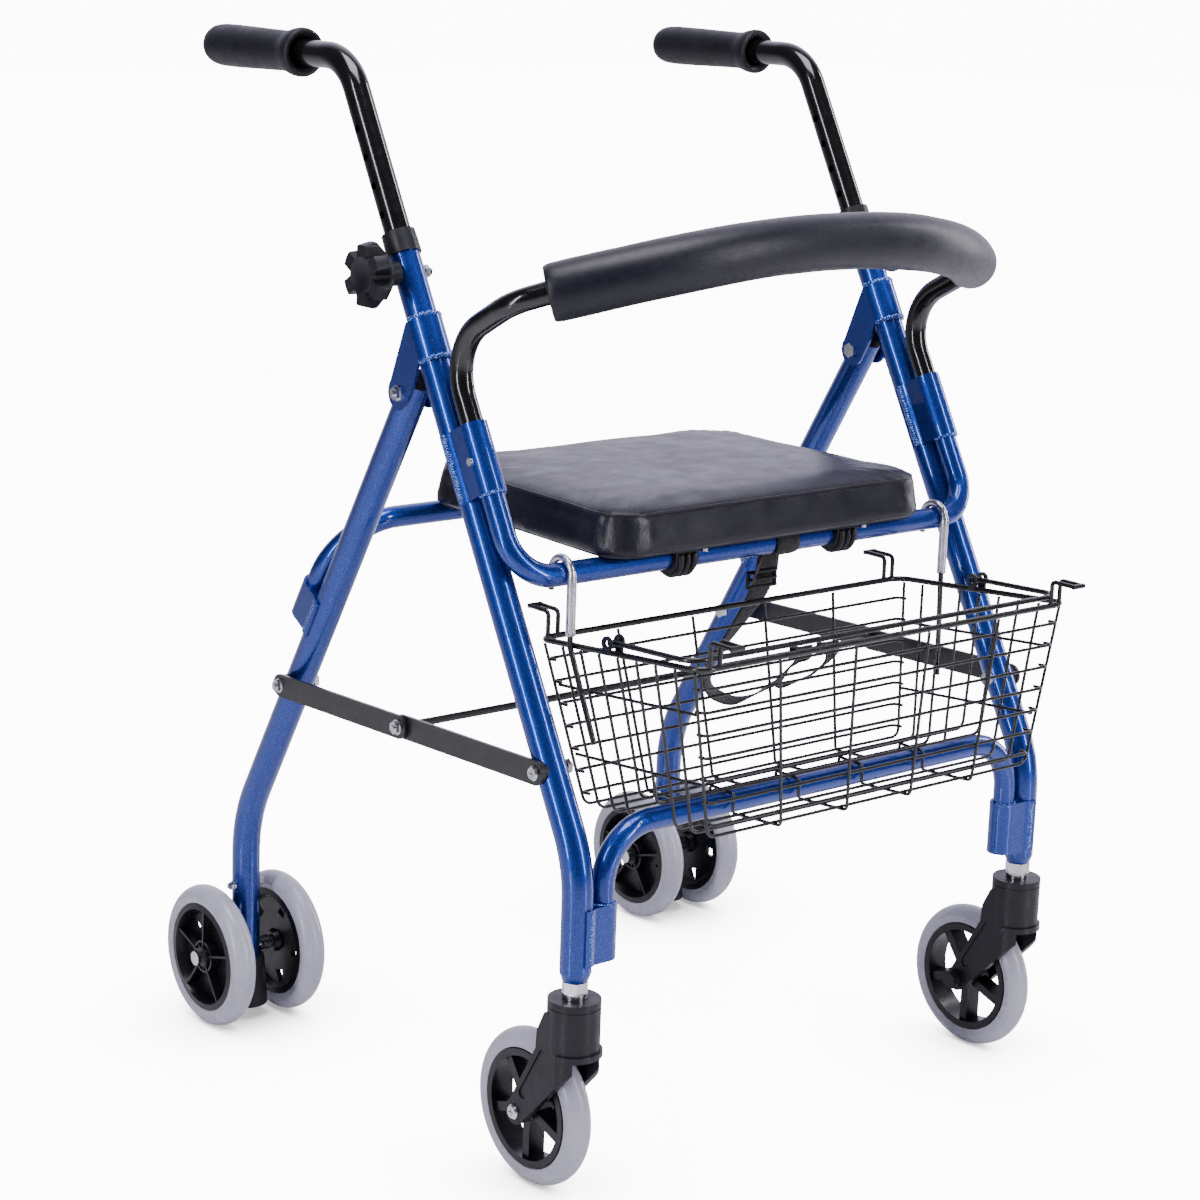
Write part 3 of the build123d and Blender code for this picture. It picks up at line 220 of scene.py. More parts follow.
def foam():
    """Charcoal closed-cell foam: matt, fine open pores, pale dusty sheen."""
    material, tree, shader = new_material("charcoal_foam")
    at = coords(tree)
    cells = voronoi(tree, at, 900)
    tree.links.new(
        ramp(tree, noise(tree, at, 55, 5), [(0.25, grey(0.0035, 1.2)), (0.75, grey(0.0065, 1.2))]),
        shader.inputs["Base Color"],
    )
    tree.links.new(spread(tree, noise(tree, at, 160, 3), 0.36, 0.44), shader.inputs["Roughness"])
    shader.inputs["Specular IOR Level"].default_value = 0.36
    shader.inputs["Sheen Weight"].default_value = 0.06
    shader.inputs["Sheen Roughness"].default_value = 0.5
    fine = bump(tree, cells, 0.16, 0.0004)
    tree.links.new(bump(tree, noise(tree, at, 60, 3), 0.05, 0.001, fine), shader.inputs["Normal"])
    return material


def vinyl():
    """Black upholstery vinyl: pebble grain, soft creases, satin sheen."""
    material, tree, shader = new_material("seat_vinyl")
    at = coords(tree)
    pebble = voronoi(tree, at, 760, "SMOOTH_F1")
    fine = noise(tree, at, 1500, 2)
    tree.links.new(
        ramp(tree, noise(tree, at, 18, 4), [(0.3, grey(0.0045, 1.0)), (0.75, grey(0.008, 1.0))]),
        shader.inputs["Base Color"],
    )
    tree.links.new(spread(tree, noise(tree, at, 45, 4), 0.30, 0.42), shader.inputs["Roughness"])
    shader.inputs["Specular IOR Level"].default_value = 0.42
    grain = bump(tree, pebble, 0.30, 0.0005)
    grain = bump(tree, fine, 0.12, 0.0002, grain)
    tree.links.new(bump(tree, noise(tree, at, 14, 3), 0.16, 0.004, grain), shader.inputs["Normal"])
    return material


def webbing_material():
    """Woven black nylon webbing, ribs across its width."""
    material, tree, shader = new_material("black_webbing")
    at = coords(tree)
    weave = tree.nodes.new("ShaderNodeTexWave")
    weave.wave_type = "BANDS"
    weave.bands_direction = "X"
    weave.inputs["Scale"].default_value = 260
    weave.inputs["Distortion"].default_value = 0.6
    tree.links.new(at, weave.inputs["Vector"])
    tree.links.new(
        ramp(tree, weave.outputs["Fac"], [(0.2, grey(0.002)), (0.8, grey(0.008))]),
        shader.inputs["Base Color"],
    )
    tree.links.new(spread(tree, noise(tree, at, 300, 3), 0.55, 0.8), shader.inputs["Roughness"])
    shader.inputs["Sheen Weight"].default_value = 0.06
    tree.links.new(bump(tree, weave.outputs["Fac"], 0.5, 0.0004), shader.inputs["Normal"])
    return material


def bright_sleeve():
    """Clear vinyl sleeve that shows the bright wire inside it."""
    material, tree, shader = new_material("bright_wire_in_sleeve")
    at = coords(tree)
    tree.links.new(
        ramp(tree, noise(tree, at, 90, 3), [(0.3, (0.52, 0.52, 0.56, 1)), (0.7, (0.78, 0.78, 0.82, 1))]),
        shader.inputs["Base Color"],
    )
    shader.inputs["Metallic"].default_value = 0.9
    tree.links.new(spread(tree, noise(tree, at, 240, 3), 0.16, 0.30), shader.inputs["Roughness"])
    shader.inputs["Coat Weight"].default_value = 1.0
    shader.inputs["Coat Roughness"].default_value = 0.05
    tree.links.new(bump(tree, noise(tree, at, 260, 2), 0.08, 0.0004), shader.inputs["Normal"])
    return material


def chrome():
    """Bright plated steel with faint smudges."""
    material, tree, shader = new_material("bright_plate")
    at = coords(tree)
    tree.links.new(
        ramp(tree, noise(tree, at, 120, 3), [(0.3, (0.62, 0.63, 0.66, 1)), (0.7, (0.80, 0.80, 0.82, 1))]),
        shader.inputs["Base Color"],
    )
    shader.inputs["Metallic"].default_value = 1.0
    tree.links.new(spread(tree, noise(tree, at, 300, 4), 0.10, 0.28), shader.inputs["Roughness"])
    tree.links.new(bump(tree, noise(tree, at, 900, 2), 0.05, 0.0002), shader.inputs["Normal"])
    return material


def weld_lacquer_painted_glints():
    """Weld ripples under the same blue lacquer; the lighter blue and pale flecks in its colour, scattered by
    noise, are painted highlights.
    """
    material, tree, shader = new_material("lacquered_weld")
    at = coords(tree)
    # painted highlights: noise sets lighter blue and pale near-white flecks in the lacquer colour, not tied
    # to the ripples' crests
    tree.links.new(
        ramp(tree, noise(tree, at, 620, 3), [
            (0.45, (0.010, 0.065, 0.36, 1)), (0.60, (0.06, 0.17, 0.60, 1)), (0.72, (0.55, 0.62, 0.80, 1)),
        ]),
        shader.inputs["Base Color"],
    )
    shader.inputs["Metallic"].default_value = 0.7
    shader.inputs["Coat Weight"].default_value = 1.0
    shader.inputs["Coat Roughness"].default_value = 0.05
    tree.links.new(spread(tree, noise(tree, at, 500, 3), 0.22, 0.4), shader.inputs["Roughness"])
    tree.links.new(bump(tree, noise(tree, at, 800, 2), 0.45, 0.0006), shader.inputs["Normal"])
    return material


def tyre_material():
    """Smooth lavender-grey polyurethane with a soft gloss."""
    material, tree, shader = new_material("lavender_tyre")
    at = coords(tree)
    tree.links.new(
        ramp(tree, noise(tree, at, 30, 4), [(0.3, (0.42, 0.42, 0.50, 1)), (0.72, (0.48, 0.48, 0.56, 1))]),
        shader.inputs["Base Color"],
    )
    tree.links.new(spread(tree, noise(tree, at, 80, 4), 0.20, 0.36), shader.inputs["Roughness"])
    shader.inputs["Specular IOR Level"].default_value = 0.5
    shader.inputs["Subsurface Weight"].default_value = 0.08
    shader.inputs["Subsurface Radius"].default_value = (0.004, 0.004, 0.005)
    tree.links.new(bump(tree, noise(tree, at, 120, 2), 0.03, 0.0004), shader.inputs["Normal"])
    return material


def sleeve_material():
    """Translucent vinyl sleeve over a wire."""
    material, tree, shader = new_material("clear_sleeve_vinyl")
    at = coords(tree)
    tree.links.new(
        ramp(tree, noise(tree, at, 90, 3), [(0.3, (0.30, 0.31, 0.33, 1)), (0.7, (0.46, 0.47, 0.49, 1))]),
        shader.inputs["Base Color"],
    )
    tree.links.new(spread(tree, noise(tree, at, 200, 3), 0.15, 0.3), shader.inputs["Roughness"])
    shader.inputs["Alpha"].default_value = 0.55
    return material


BLUE = metallic_paint()
GLOSS = black_gloss("gloss_black_tube")
BAR_BLACK = black_gloss("black_bar_coat", 0.008, (0.28, 0.42), 0.2)
WIRE_BLACK = black_gloss("dipped_wire_black", 0.003, (0.26, 0.38), 0.3)
PLASTIC = moulded("satin_moulding")
CORE_PLASTIC = moulded("wheel_moulding", 0.004, (0.26, 0.38), 900, 0.06, 0.45)
GRIP_RUBBER = moulded("grip_rubber_skin", 0.005, (0.42, 0.56), 1100, 0.16, 0.35)
TIP_RUBBER = moulded("tip_rubber_skin", 0.006, (0.5, 0.66), 700, 0.2, 0.3)
BOARD = moulded("seat_board_black", 0.02, (0.6, 0.75), 300, 0.3, 0.3)
FOAM = foam()
VINYL = vinyl()
WEBBING = webbing_material()
CHROME = chrome()
BRIGHT_SLEEVE = bright_sleeve()
WELD = weld_lacquer_painted_glints()
TYRE = tyre_material()
SLEEVE = sleeve_material()

LOOKS = {
    "frame_paint": BLUE, "black_paint": GLOSS, "foam": FOAM, "black_plastic": PLASTIC, "chrome_parts": CHROME,
    "grip_rubber": GRIP_RUBBER, "tip_rubber": TIP_RUBBER, "webbing": WEBBING, "vinyl": VINYL, "board": BOARD,
    "black_wire": WIRE_BLACK, "clear_sleeve": SLEEVE, "wheel_core": CORE_PLASTIC, "grey_tyre": TYRE,
}
for entry in frame["record"]["subparts"]:
    look = LOOKS[entry["material_slot"]]
    if entry["node"] in ("front_bars", "rear_bars", "cross_rod"):
        look = BAR_BLACK
    mesh = NODES[entry["node"]].data
    mesh.materials.clear()
    mesh.materials.append(look)


# --- mesh helpers --------------------------------------------------------------------------------
def make_object(name, verts, faces, material, smooth=True):
    mesh = bpy.data.meshes.new(name)
    mesh.from_pydata([tuple(v) for v in verts], [], faces)
    mesh.update()
    made = bpy.data.objects.new(name, mesh)
    bpy.context.scene.collection.objects.link(made)
    if material is not None:
        mesh.materials.append(material)
    if smooth:
        mesh.polygons.foreach_set("use_smooth", [True] * len(mesh.polygons))
    return made


def ring_band(lower, upper, count):
    """Faces between two rings of vertices that start at lower and upper."""
    faces = []
    for i in range(count):
        j = (i + 1) % count
        faces.append((lower + i, lower + j, upper + j, upper + i))
    return faces


def lathe_rings(origin, axis, profile, count):
    """Vertices and faces of a surface of revolution: profile is (along, radius) pairs."""
    axis = axis.normalized()
    side = axis.orthogonal().normalized()
    other = axis.cross(side)
    verts, faces = [], []
    for along, radius in profile:
        for i in range(count):
            a = 2 * math.pi * i / count
            verts.append(origin + axis * along + (side * math.cos(a) + other * math.sin(a)) * radius)
    for k in range(len(profile) - 1):
        faces += ring_band(k * count, (k + 1) * count, count)
    return verts, faces


def curve_point(points, t):
    """Point at share t of a polyline's length."""
    spans = [(points[i + 1] - points[i]).length for i in range(len(points) - 1)]
    want = t * sum(spans)
    for i, span in enumerate(spans):
        if want <= span or i == len(spans) - 1:
            return points[i].lerp(points[i + 1], min(1, max(0, want / span)))
        want -= span


def tube_along(points, radius, count=16, capped=True):
    """A round tube through the given centre points; radius may be a function of the share of length."""
    verts, faces = [], []
    n = len(points)
    side = None
    for k, point in enumerate(points):
        ahead = points[min(k + 1, n - 1)] - points[max(k - 1, 0)]
        ahead.normalize()
        if side is None:
            side = ahead.orthogonal().normalized()
        side = (side - ahead * side.dot(ahead)).normalized()
        other = ahead.cross(side)
        r = radius(k / (n - 1)) if callable(radius) else radius
        for i in range(count):
            a = 2 * math.pi * i / count
            verts.append(point + (side * math.cos(a) + other * math.sin(a)) * r)
    for k in range(n - 1):
        faces += ring_band(k * count, (k + 1) * count, count)
    if capped:
        faces.append(tuple(range(count - 1, -1, -1)))
        faces.append(tuple(range((n - 1) * count, n * count)))
    return verts, faces


def revolved(name, origin, axis, profile, material, count=48):
    verts, faces = lathe_rings(origin, axis, profile, count)
    return make_object(name, verts, faces, material)


def put(obj, body):
    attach(obj, body)
    return obj


# --- grips: moulded rubber with a bell flange, a neck and a rounded end --------------------------
GRIP_Z, GRIP_START_Y, GRIP_SIDES = 0.878, 0.170, 56
GRIP_PROFILE = [
    (0.030, 0.0111), (0.010, 0.0111), (0.0045, 0.0125), (0.0015, 0.0160), (0.000, 0.0182),
    (0.0010, 0.0197), (0.0040, 0.0204), (0.0085, 0.0203), (0.0135, 0.0192), (0.0180, 0.0178),
    (0.0225, 0.0170), (0.0300, 0.0168), (0.0450, 0.0170), (0.0650, 0.0174), (0.0900, 0.0179),
    (0.1100, 0.0181), (0.1220, 0.0180), (0.1300, 0.0174), (0.1355, 0.0160), (0.1392, 0.0136),
    (0.1412, 0.0104), (0.1420, 0.0066), (0.1423, 0.0026), (0.1423, 0.0004),
]
for side, name in SIDES:
    grip_start = Vector((side * TRACK, GRIP_START_Y, GRIP_Z))
    grip = revolved(
        f"grip_skin_{name}", grip_start, Vector((0, 1, 0)), GRIP_PROFILE, GRIP_RUBBER, GRIP_SIDES
    )
    subdivide = grip.modifiers.new("Smooth", "SUBSURF")
    subdivide.levels = subdivide.render_levels = 1
    put(grip, f"handle_{name}")
    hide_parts(f"grip_{name}")

# --- seat cushion --------------------------------------------------------------------------------
SEAT_LOW, SEAT_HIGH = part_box("seat_cushion")
SEAT_FRONT_HALF = 0.184
SEAT_REAR_HALF = 0.171
SEAT_CORNER_R = 0.036
CORNER_STEPS = 10
VOXEL = 0.005
SWELL_PRESSURE, SWELL_KEPT, SWELL_CAP, SWELL_PINNED = 4.0, 0.3, 0.002, 0.004
TOP_FROM, SIDE_TO = 0.030, 0.034       # heights over the seat's bottom
CROWN_RISE, CROWN_REACH = 0.0045, 0.05
DIMPLE_DEPTH, DRAG_DEPTH, PUCKER_DEPTH, WAVE_DEPTH = 0.0010, 0.0011, 0.0011, 0.0006
SEAM_UP, WELT_R = 0.0345, 0.0013


def rounded_outline(inset, step=0.005):
    """Points round the seat's outline, counter-clockwise, with rounded corners."""
    front, rear = SEAT_LOW.y + inset, SEAT_HIGH.y - inset
    corners = [
        Vector((-SEAT_FRONT_HALF + inset, front)), Vector((SEAT_FRONT_HALF - inset, front)),
        Vector((SEAT_REAR_HALF - inset, rear)), Vector((-SEAT_REAR_HALF + inset, rear)),
    ]
    radius = SEAT_CORNER_R - inset * 0.6
    points = []
    for i, corner in enumerate(corners):
        before = (corners[i - 1] - corner).normalized()
        after = (corners[(i + 1) % 4] - corner).normalized()
        half = before.angle(after) / 2
        reach = radius / math.tan(half)
        centre = corner + (before + after).normalized() * (radius / math.sin(half))
        start = corner + before * reach - centre
        turn = math.pi - 2 * half
        for k in range(CORNER_STEPS + 1):
            a = turn * k / CORNER_STEPS
            points.append(centre + Vector((
                start.x * math.cos(a) - start.y * math.sin(a),
                start.x * math.sin(a) + start.y * math.cos(a),
            )))
    dense = []
    for i, point in enumerate(points):
        nxt = points[(i + 1) % len(points)]
        pieces = max(1, round((nxt - point).length / step))
        for k in range(pieces):
            dense.append(point.lerp(nxt, k / pieces))
    return dense


def inflate(obj, pressure, kept_share, cap, pinned_below, stiffness=12, frames=20):
    """Cloth simulation with inner pressure; keeps a share of each point's shift, capped."""
    start = [v.co.copy() for v in obj.data.vertices]
    pins = obj.vertex_groups.new(name="pins")
    low = min(v.z for v in start)
    pins.add([i for i, v in enumerate(start) if v.z < low + pinned_below], 1.0, "REPLACE")
    cloth = obj.modifiers.new("Cloth", "CLOTH")
    settings = cloth.settings
    settings.quality = 6
    settings.mass = 0.25
    settings.tension_stiffness = stiffness
    settings.compression_stiffness = stiffness
    settings.shear_stiffness = stiffness * 0.6
    settings.bending_stiffness = 0.6
    settings.use_pressure = True
    settings.uniform_pressure_force = pressure
    settings.effector_weights.gravity = 0
    settings.vertex_group_mass = "pins"
    scene = bpy.context.scene
    for f in range(1, frames + 1):
        scene.frame_set(f)
    evaluated = obj.evaluated_get(bpy.context.evaluated_depsgraph_get())
    moved = [v.co.copy() for v in evaluated.data.vertices]
    obj.modifiers.remove(cloth)
    for v, before, after in zip(obj.data.vertices, start, moved):
        shift = (after - before) * kept_share
        if shift.length > cap:
            shift *= cap / shift.length
        v.co = before + shift
    obj.vertex_groups.remove(pins)
    scene.frame_set(1)


def remesh(obj, size):
    """Swaps the mesh for an even voxel one that cloth can work on."""
    voxel = obj.modifiers.new("Remesh", "REMESH")
    voxel.mode = "VOXEL"
    voxel.voxel_size = size
    voxel.use_smooth_shade = True
    evaluated = obj.evaluated_get(bpy.context.evaluated_depsgraph_get())
    fresh = bpy.data.meshes.new_from_object(evaluated)
    obj.modifiers.remove(voxel)
    old = obj.data
    materials = list(old.materials)
    obj.data = fresh
    obj.data.name = old.name + "_dense"
    obj.data.materials.clear()
    for material in materials:
        obj.data.materials.append(material)


def stacked_shell(name, rings, material):
    """A closed shell from a stack of equal-length rings of points."""
    count = len(rings[0])
    verts = [v for ring in rings for v in ring]
    faces = []
    for k in range(len(rings) - 1):
        faces += ring_band(k * count, (k + 1) * count, count)
    faces.append(tuple(range(count - 1, -1, -1)))
    last = (len(rings) - 1) * count
    faces.append(tuple(range(last, last + count)))
    return make_object(name, verts, faces, material)


def seat_rings(inset_levels):
    """The seat's outline at each (inset, height), drawn in towards its middle."""
    rings = []
    centre = Vector((0, (SEAT_LOW.y + SEAT_HIGH.y) / 2))
    for inset, z in inset_levels:
        ring = rounded_outline(0.002)
        scale_x = 1 - inset / SEAT_REAR_HALF
        scale_y = 1 - inset / ((SEAT_HIGH.y - SEAT_LOW.y) / 2)
        rings.append([
            Vector((centre.x + (p.x - centre.x) * scale_x, centre.y + (p.y - centre.y) * scale_y, z))
            for p in ring
        ])
    return rings


SEAT_LEVELS = [
    (0.010, SEAT_LOW.z + 0.0005), (0.003, SEAT_LOW.z + 0.001), (0.001, SEAT_LOW.z + 0.005),
    (0.002, SEAT_LOW.z + 0.014), (0.003, SEAT_LOW.z + 0.022), (0.003, SEAT_LOW.z + 0.029),
    (0.004, SEAT_LOW.z + 0.0335), (0.009, SEAT_LOW.z + 0.0372), (0.016, SEAT_LOW.z + 0.0385),
]
cushion = stacked_shell("seat_cushion_vinyl", seat_rings(SEAT_LEVELS), VINYL)
remesh(cushion, VOXEL)
inflate(cushion, SWELL_PRESSURE, SWELL_KEPT, SWELL_CAP, SWELL_PINNED)
SEAT_MID_Y = (SEAT_LOW.y + SEAT_HIGH.y) / 2


def seat_edge_distance(x, y):
    """Distance inwards from the seat's outline, roughly."""
    share = (y - SEAT_LOW.y) / (SEAT_HIGH.y - SEAT_LOW.y)
    half = SEAT_FRONT_HALF + (SEAT_REAR_HALF - SEAT_FRONT_HALF) * share
    return min(half - abs(x), y - SEAT_LOW.y, SEAT_HIGH.y - y)


for v in cushion.data.vertices:
    co = v.co
    edge = max(0.0, seat_edge_distance(co.x, co.y))
    if co.z > SEAT_LOW.z + TOP_FROM:
        # crown of the top, soft dimples and shallow drag lines towards the corners
        crown = CROWN_RISE * (1 - math.exp(-edge / CROWN_REACH))
        dimple = DIMPLE_DEPTH * mnoise.noise(Vector((co.x * 14, co.y * 14, 3.1)))
        near_corner = math.exp(-((abs(co.x) - 0.14) ** 2 + (abs(co.y - SEAT_MID_Y) - 0.10) ** 2) / 0.0018)
        drag = DRAG_DEPTH * near_corner * math.sin((abs(co.x) - abs(co.y - SEAT_MID_Y)) * 420)
        co.z += crown + dimple + drag
    side_part = min(1.0, max(0.0, (SEAT_LOW.z + SIDE_TO - co.z) / 0.03))
    if edge < 0.02 and side_part > 0:
        # upright puckers where the cover wraps the corners
        corner = min(1.0, max(0.0, (abs(co.x) - 0.130) / 0.03))
        corner *= min(1.0, max(0.0, (abs(co.y - SEAT_MID_Y) - 0.09) / 0.03))
        ripple = mnoise.noise(Vector((co.x * 60, co.y * 60, co.z * 12)))
        wave = mnoise.noise(Vector((co.x * 20, co.y * 20, co.z * 30)))
        push = PUCKER_DEPTH * corner * ripple + WAVE_DEPTH * wave
        out = Vector((co.x, co.y - SEAT_MID_Y, 0)).normalized()
        co += out * push
smooth = cushion.modifiers.new("Smooth", "SUBSURF")
smooth.levels = smooth.render_levels = 1
put(cushion, "seat")
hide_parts("seat_cushion")


# welt round the top edge, laid on the cover as it came out
cover = BVHTree.FromObject(cushion, bpy.context.evaluated_depsgraph_get())
SEAM_Z = SEAT_LOW.z + SEAM_UP
welt_points = []
for point in rounded_outline(0.002, 0.006):
    start = Vector((point.x, point.y, SEAM_Z))
    out = Vector((point.x, point.y - SEAT_MID_Y, 0)).normalized()
    hit = cover.ray_cast(start + out * 0.03, -out, 0.06)
    spot = hit[0] if hit[0] is not None else start
    waver = WAVE_DEPTH * mnoise.noise(Vector((point.x * 25, point.y * 25, 0)))
    welt_points.append(Vector((spot.x, spot.y, SEAM_Z + waver)))


def ring_tube(name, points, radius, material, count=8):
    """A closed loop of round section."""
    n = len(points)
    verts, faces = [], []
    for k, point in enumerate(points):
        ahead = (points[(k + 1) % n] - points[k - 1]).normalized()
        side = ahead.cross(Vector((0, 0, 1))).normalized()
        upward = side.cross(ahead)
        for i in range(count):
            a = 2 * math.pi * i / count
            verts.append(point + (side * math.cos(a) + upward * math.sin(a)) * radius)
    for k in range(n):
        m = (k + 1) % n
        for i in range(count):
            j = (i + 1) % count
            faces.append((k * count + i, m * count + i, m * count + j, k * count + j))
    return make_object(name, verts, faces, material)


welt = ring_tube("seat_top_welt", welt_points, WELT_R, VINYL)
put(welt, "seat")

# --- backrest pad: foam sleeve with flat cut ends -------------------------------------------------
PAD_R = 0.023
PAD_HALF = 0.2335


def pad_point(t):
    """The pad's bowed centre line, from t = -1 at the right to 1 at the left."""
    x = PAD_HALF * t
    a = abs(t)
    return Vector((x, -0.1365 - 0.0672 * (1 - a ** 2.84), 0.7134 + 0.0365 * (1 - a ** 2.2)))


def foam_radius(t):
    """Slightly uneven radius, rounded off at the cut ends."""
    swell = 0.0002 * math.sin(t * 11) + 0.0001 * math.sin(t * 29 + 1)
    end = min(t, 1 - t) * 2 * PAD_HALF * 1.3
    return PAD_R + swell - 0.0010 * math.exp(-end / 0.0012)


PAD_STEPS, PAD_RING = 150, 40
# the cut face and the tube's hole: share of the radius, and depth
PAD_END = ((0.93, -0.0006), (0.72, 0.0004), (0.55, 0.0006), (0.425, 0.0012), (0.420, 0.014))
pad_path = [pad_point(-1 + 2 * k / PAD_STEPS) for k in range(PAD_STEPS + 1)]
pad_verts, pad_faces = tube_along(pad_path, foam_radius, PAD_RING, capped=False)
for end in (0, PAD_STEPS):
    centre = pad_path[end]
    inward = (pad_path[end + (1 if end == 0 else -1)] - centre).normalized()
    outer = list(range(end * PAD_RING, end * PAD_RING + PAD_RING))
    previous = outer
    for shrink, depth in PAD_END:
        fresh = []
        for index in outer:
            spoke = pad_verts[index] - centre
            fresh.append(len(pad_verts))
            pad_verts.append(centre + spoke * shrink + inward * depth)
        for i in range(PAD_RING):
            j = (i + 1) % PAD_RING
            quad = (previous[i], previous[j], fresh[j], fresh[i])
            pad_faces.append(quad if end else tuple(reversed(quad)))
        previous = fresh
pad = make_object("backrest_foam", pad_verts, pad_faces, FOAM)
for v in pad.data.vertices:
    n = mnoise.noise(v.co * 22)
    m = mnoise.noise(v.co * 70)
    axis_point = pad_point(max(-1, min(1, v.co.x / PAD_HALF)))
    out = v.co - axis_point
    if out.length > 0.015:
        v.co += out.normalized() * (0.0003 * n + 0.0001 * m)
smooth = pad.modifiers.new("Smooth", "SUBSURF")
smooth.levels = smooth.render_levels = 1
put(pad, "front_frame")
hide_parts("backrest_pad")


# --- fold strap ----------------------------------------------------------------------------------
def ribbon(name, points, widths, material, half_thick=0.0008):
    """Flat webbing: centre points with the width vector at each, lightly domed."""
    verts, faces = [], []
    lanes = 6
    n = len(points)
    for k, (point, wide) in enumerate(zip(points, widths)):
        ahead = (points[min(k + 1, n - 1)] - points[max(k - 1, 0)]).normalized()
        wide = wide - ahead * wide.dot(ahead)
        normal = ahead.cross(wide).normalized()
        for face in (1, -1):
            for lane in range(lanes + 1):
                share = -1 + 2 * lane / lanes
                lift = half_thick * (1 - 0.55 * abs(share) ** 6)
                verts.append(point + wide * (share / 2) + normal * (lift * face))
    per = 2 * (lanes + 1)
    for k in range(n - 1):
        a, b = k * per, (k + 1) * per
        for lane in range(lanes):
            faces.append((a + lane, a + lane + 1, b + lane + 1, b + lane))
            o = lanes + 1
            faces.append((a + o + lane + 1, a + o + lane, b + o + lane, b + o + lane + 1))
        faces.append((a + lanes, a + 2 * lanes + 1, b + 2 * lanes + 1, b + lanes))
        faces.append((a + lanes + 1, a, b, b + lanes + 1))
    for k, flip in ((0, False), (n - 1, True)):
        a = k * per
        for lane in range(lanes):
            quad = (a + lane, a + lanes + 1 + lane, a + lanes + 2 + lane, a + lane + 1)
            faces.append(tuple(reversed(quad)) if flip else quad)
    return make_object(name, verts, faces, material)


def smooth_path(controls, count):
    """Catmull-Rom through the control points."""
    points = []
    for i in range(len(controls) - 1):
        p0 = controls[max(i - 1, 0)]
        p1, p2 = controls[i], controls[i + 1]
        p3 = controls[min(i + 2, len(controls) - 1)]
        for k in range(count):
            t = k / count
            points.append(0.5 * (
                (2 * p1) + (p2 - p0) * t + (2 * p0 - 5 * p1 + 4 * p2 - p3) * t * t
                + (3 * p1 - p0 - 3 * p2 + p3) * t ** 3
            ))
    points.append(controls[-1].copy())
    return points


STRAP_W, STRAP_STEPS = 0.025, 10


def strap_run(name, stations):
    """A run of webbing through (x, y, z, width direction) stations."""
    places = [Vector(s[:3]) for s in stations]
    wide = [Vector(s[3:]).normalized() for s in stations]
    path = smooth_path(places, STRAP_STEPS)
    turned = [w * STRAP_W for w in smooth_path(wide, STRAP_STEPS)]
    turned = [w.normalized() * STRAP_W for w in turned]
    return ribbon(name, path, turned, WEBBING)


TUBE_WRAP = 0.0108
TURN_X = (1, 0, 0)


def round_tube(centre, radius, start, stop, steps, x):
    """Stations round a tube along X, angles from +Y towards +Z in degrees."""
    made = []
    for k in range(steps + 1):
        a = math.radians(start + (stop - start) * k / steps)
        made.append((x, centre.y + radius * math.cos(a), centre.z + radius * math.sin(a), *TURN_X))
    return made


STRAP_X = 0.025
TURN_EDGE = (0.67, 0.71, -0.20)        # the lower run hangs nearly edge on
main_stations = round_tube(SEAT_TUBE, TUBE_WRAP, 250, 30, 8, STRAP_X) + [
    (0.0262, -0.1185, 0.474, *TURN_X),
    (0.0275, -0.1145, 0.457, *TURN_X),
    (0.0384, -0.092, 0.4311, 1, 0.05, 0),
    (0.0352, -0.083, 0.4152, 0.98, 0.19, 0),
    (0.0278, -0.072, 0.393, 0.94, 0.34, 0),
    (0.0294, -0.056, 0.3755, 0.93, 0.38, 0),
    (0.0335, -0.040, 0.352, 0.87, 0.49, 0),
    (0.0475, -0.031, 0.332, 0.8, 0.6, 0.1),
    (0.074, -0.024, 0.319, 0.67, 0.71, 0.16),
    (0.104, -0.018, 0.3153, *TURN_EDGE),
    (0.126, -0.014, 0.3165, *TURN_EDGE),
    (0.145, -0.011, 0.3208, 0.67, 0.71, 0.06),
    (0.161, -0.009, 0.3308, *TURN_EDGE),
    (0.171, -0.0088, 0.337, 0.9, 0.4, -0.1),
    (0.177, -0.0092, 0.342, *TURN_X),
    (0.180, -0.0051, 0.3474, *TURN_X),
    (0.181, -0.0009, 0.343, *TURN_X),
    (0.181, -0.0016, 0.336, *TURN_X),
]
strap_main = strap_run("strap_webbing", main_stations)
strap_back = strap_run("strap_webbing_rod_loop", [
    (0.141, -0.0122, 0.3180, 0.67, 0.71, 0.0),
    (0.154, -0.011, 0.3172, 0.67, 0.71, -0.1),
    (0.169, -0.012, 0.3187, *TURN_EDGE),
    (0.185, -0.013, 0.3218, *TURN_EDGE),
    (0.200, -0.0125, 0.3286, *TURN_EDGE),
    (0.209, -0.0105, 0.3355, 0.9, 0.4, -0.1),
    (0.2125, -0.0092, 0.342, *TURN_X),
    (0.214, -0.0051, 0.3474, *TURN_X),
    (0.215, -0.0009, 0.343, *TURN_X),
    (0.215, -0.0016, 0.336, *TURN_X),
])
strap_tail = strap_run("strap_webbing_tail", [
    (0.000, -0.1365, 0.4782, 0.75, 0.66, 0),
    (0.002, -0.1310, 0.466, 0.75, 0.66, 0),
    (0.008, -0.122, 0.4575, 0.75, 0.66, 0),
    (0.018, -0.1165, 0.4535, 0.85, 0.5, 0),
    (0.026, -0.1115, 0.449, *TURN_X),
])
for strap in (strap_main, strap_back, strap_tail):
    put(strap, "front_frame")
    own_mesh(strap)
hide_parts("fold_strap")

# three-bar slider on the webbing
slider_verts, slider_faces = [], []


def add_part(store_v, store_f, verts, faces):
    """Adds a mesh to a store of vertices and faces."""
    base = len(store_v)
    store_v.extend(verts)
    store_f.extend(tuple(base + i for i in face) for face in faces)


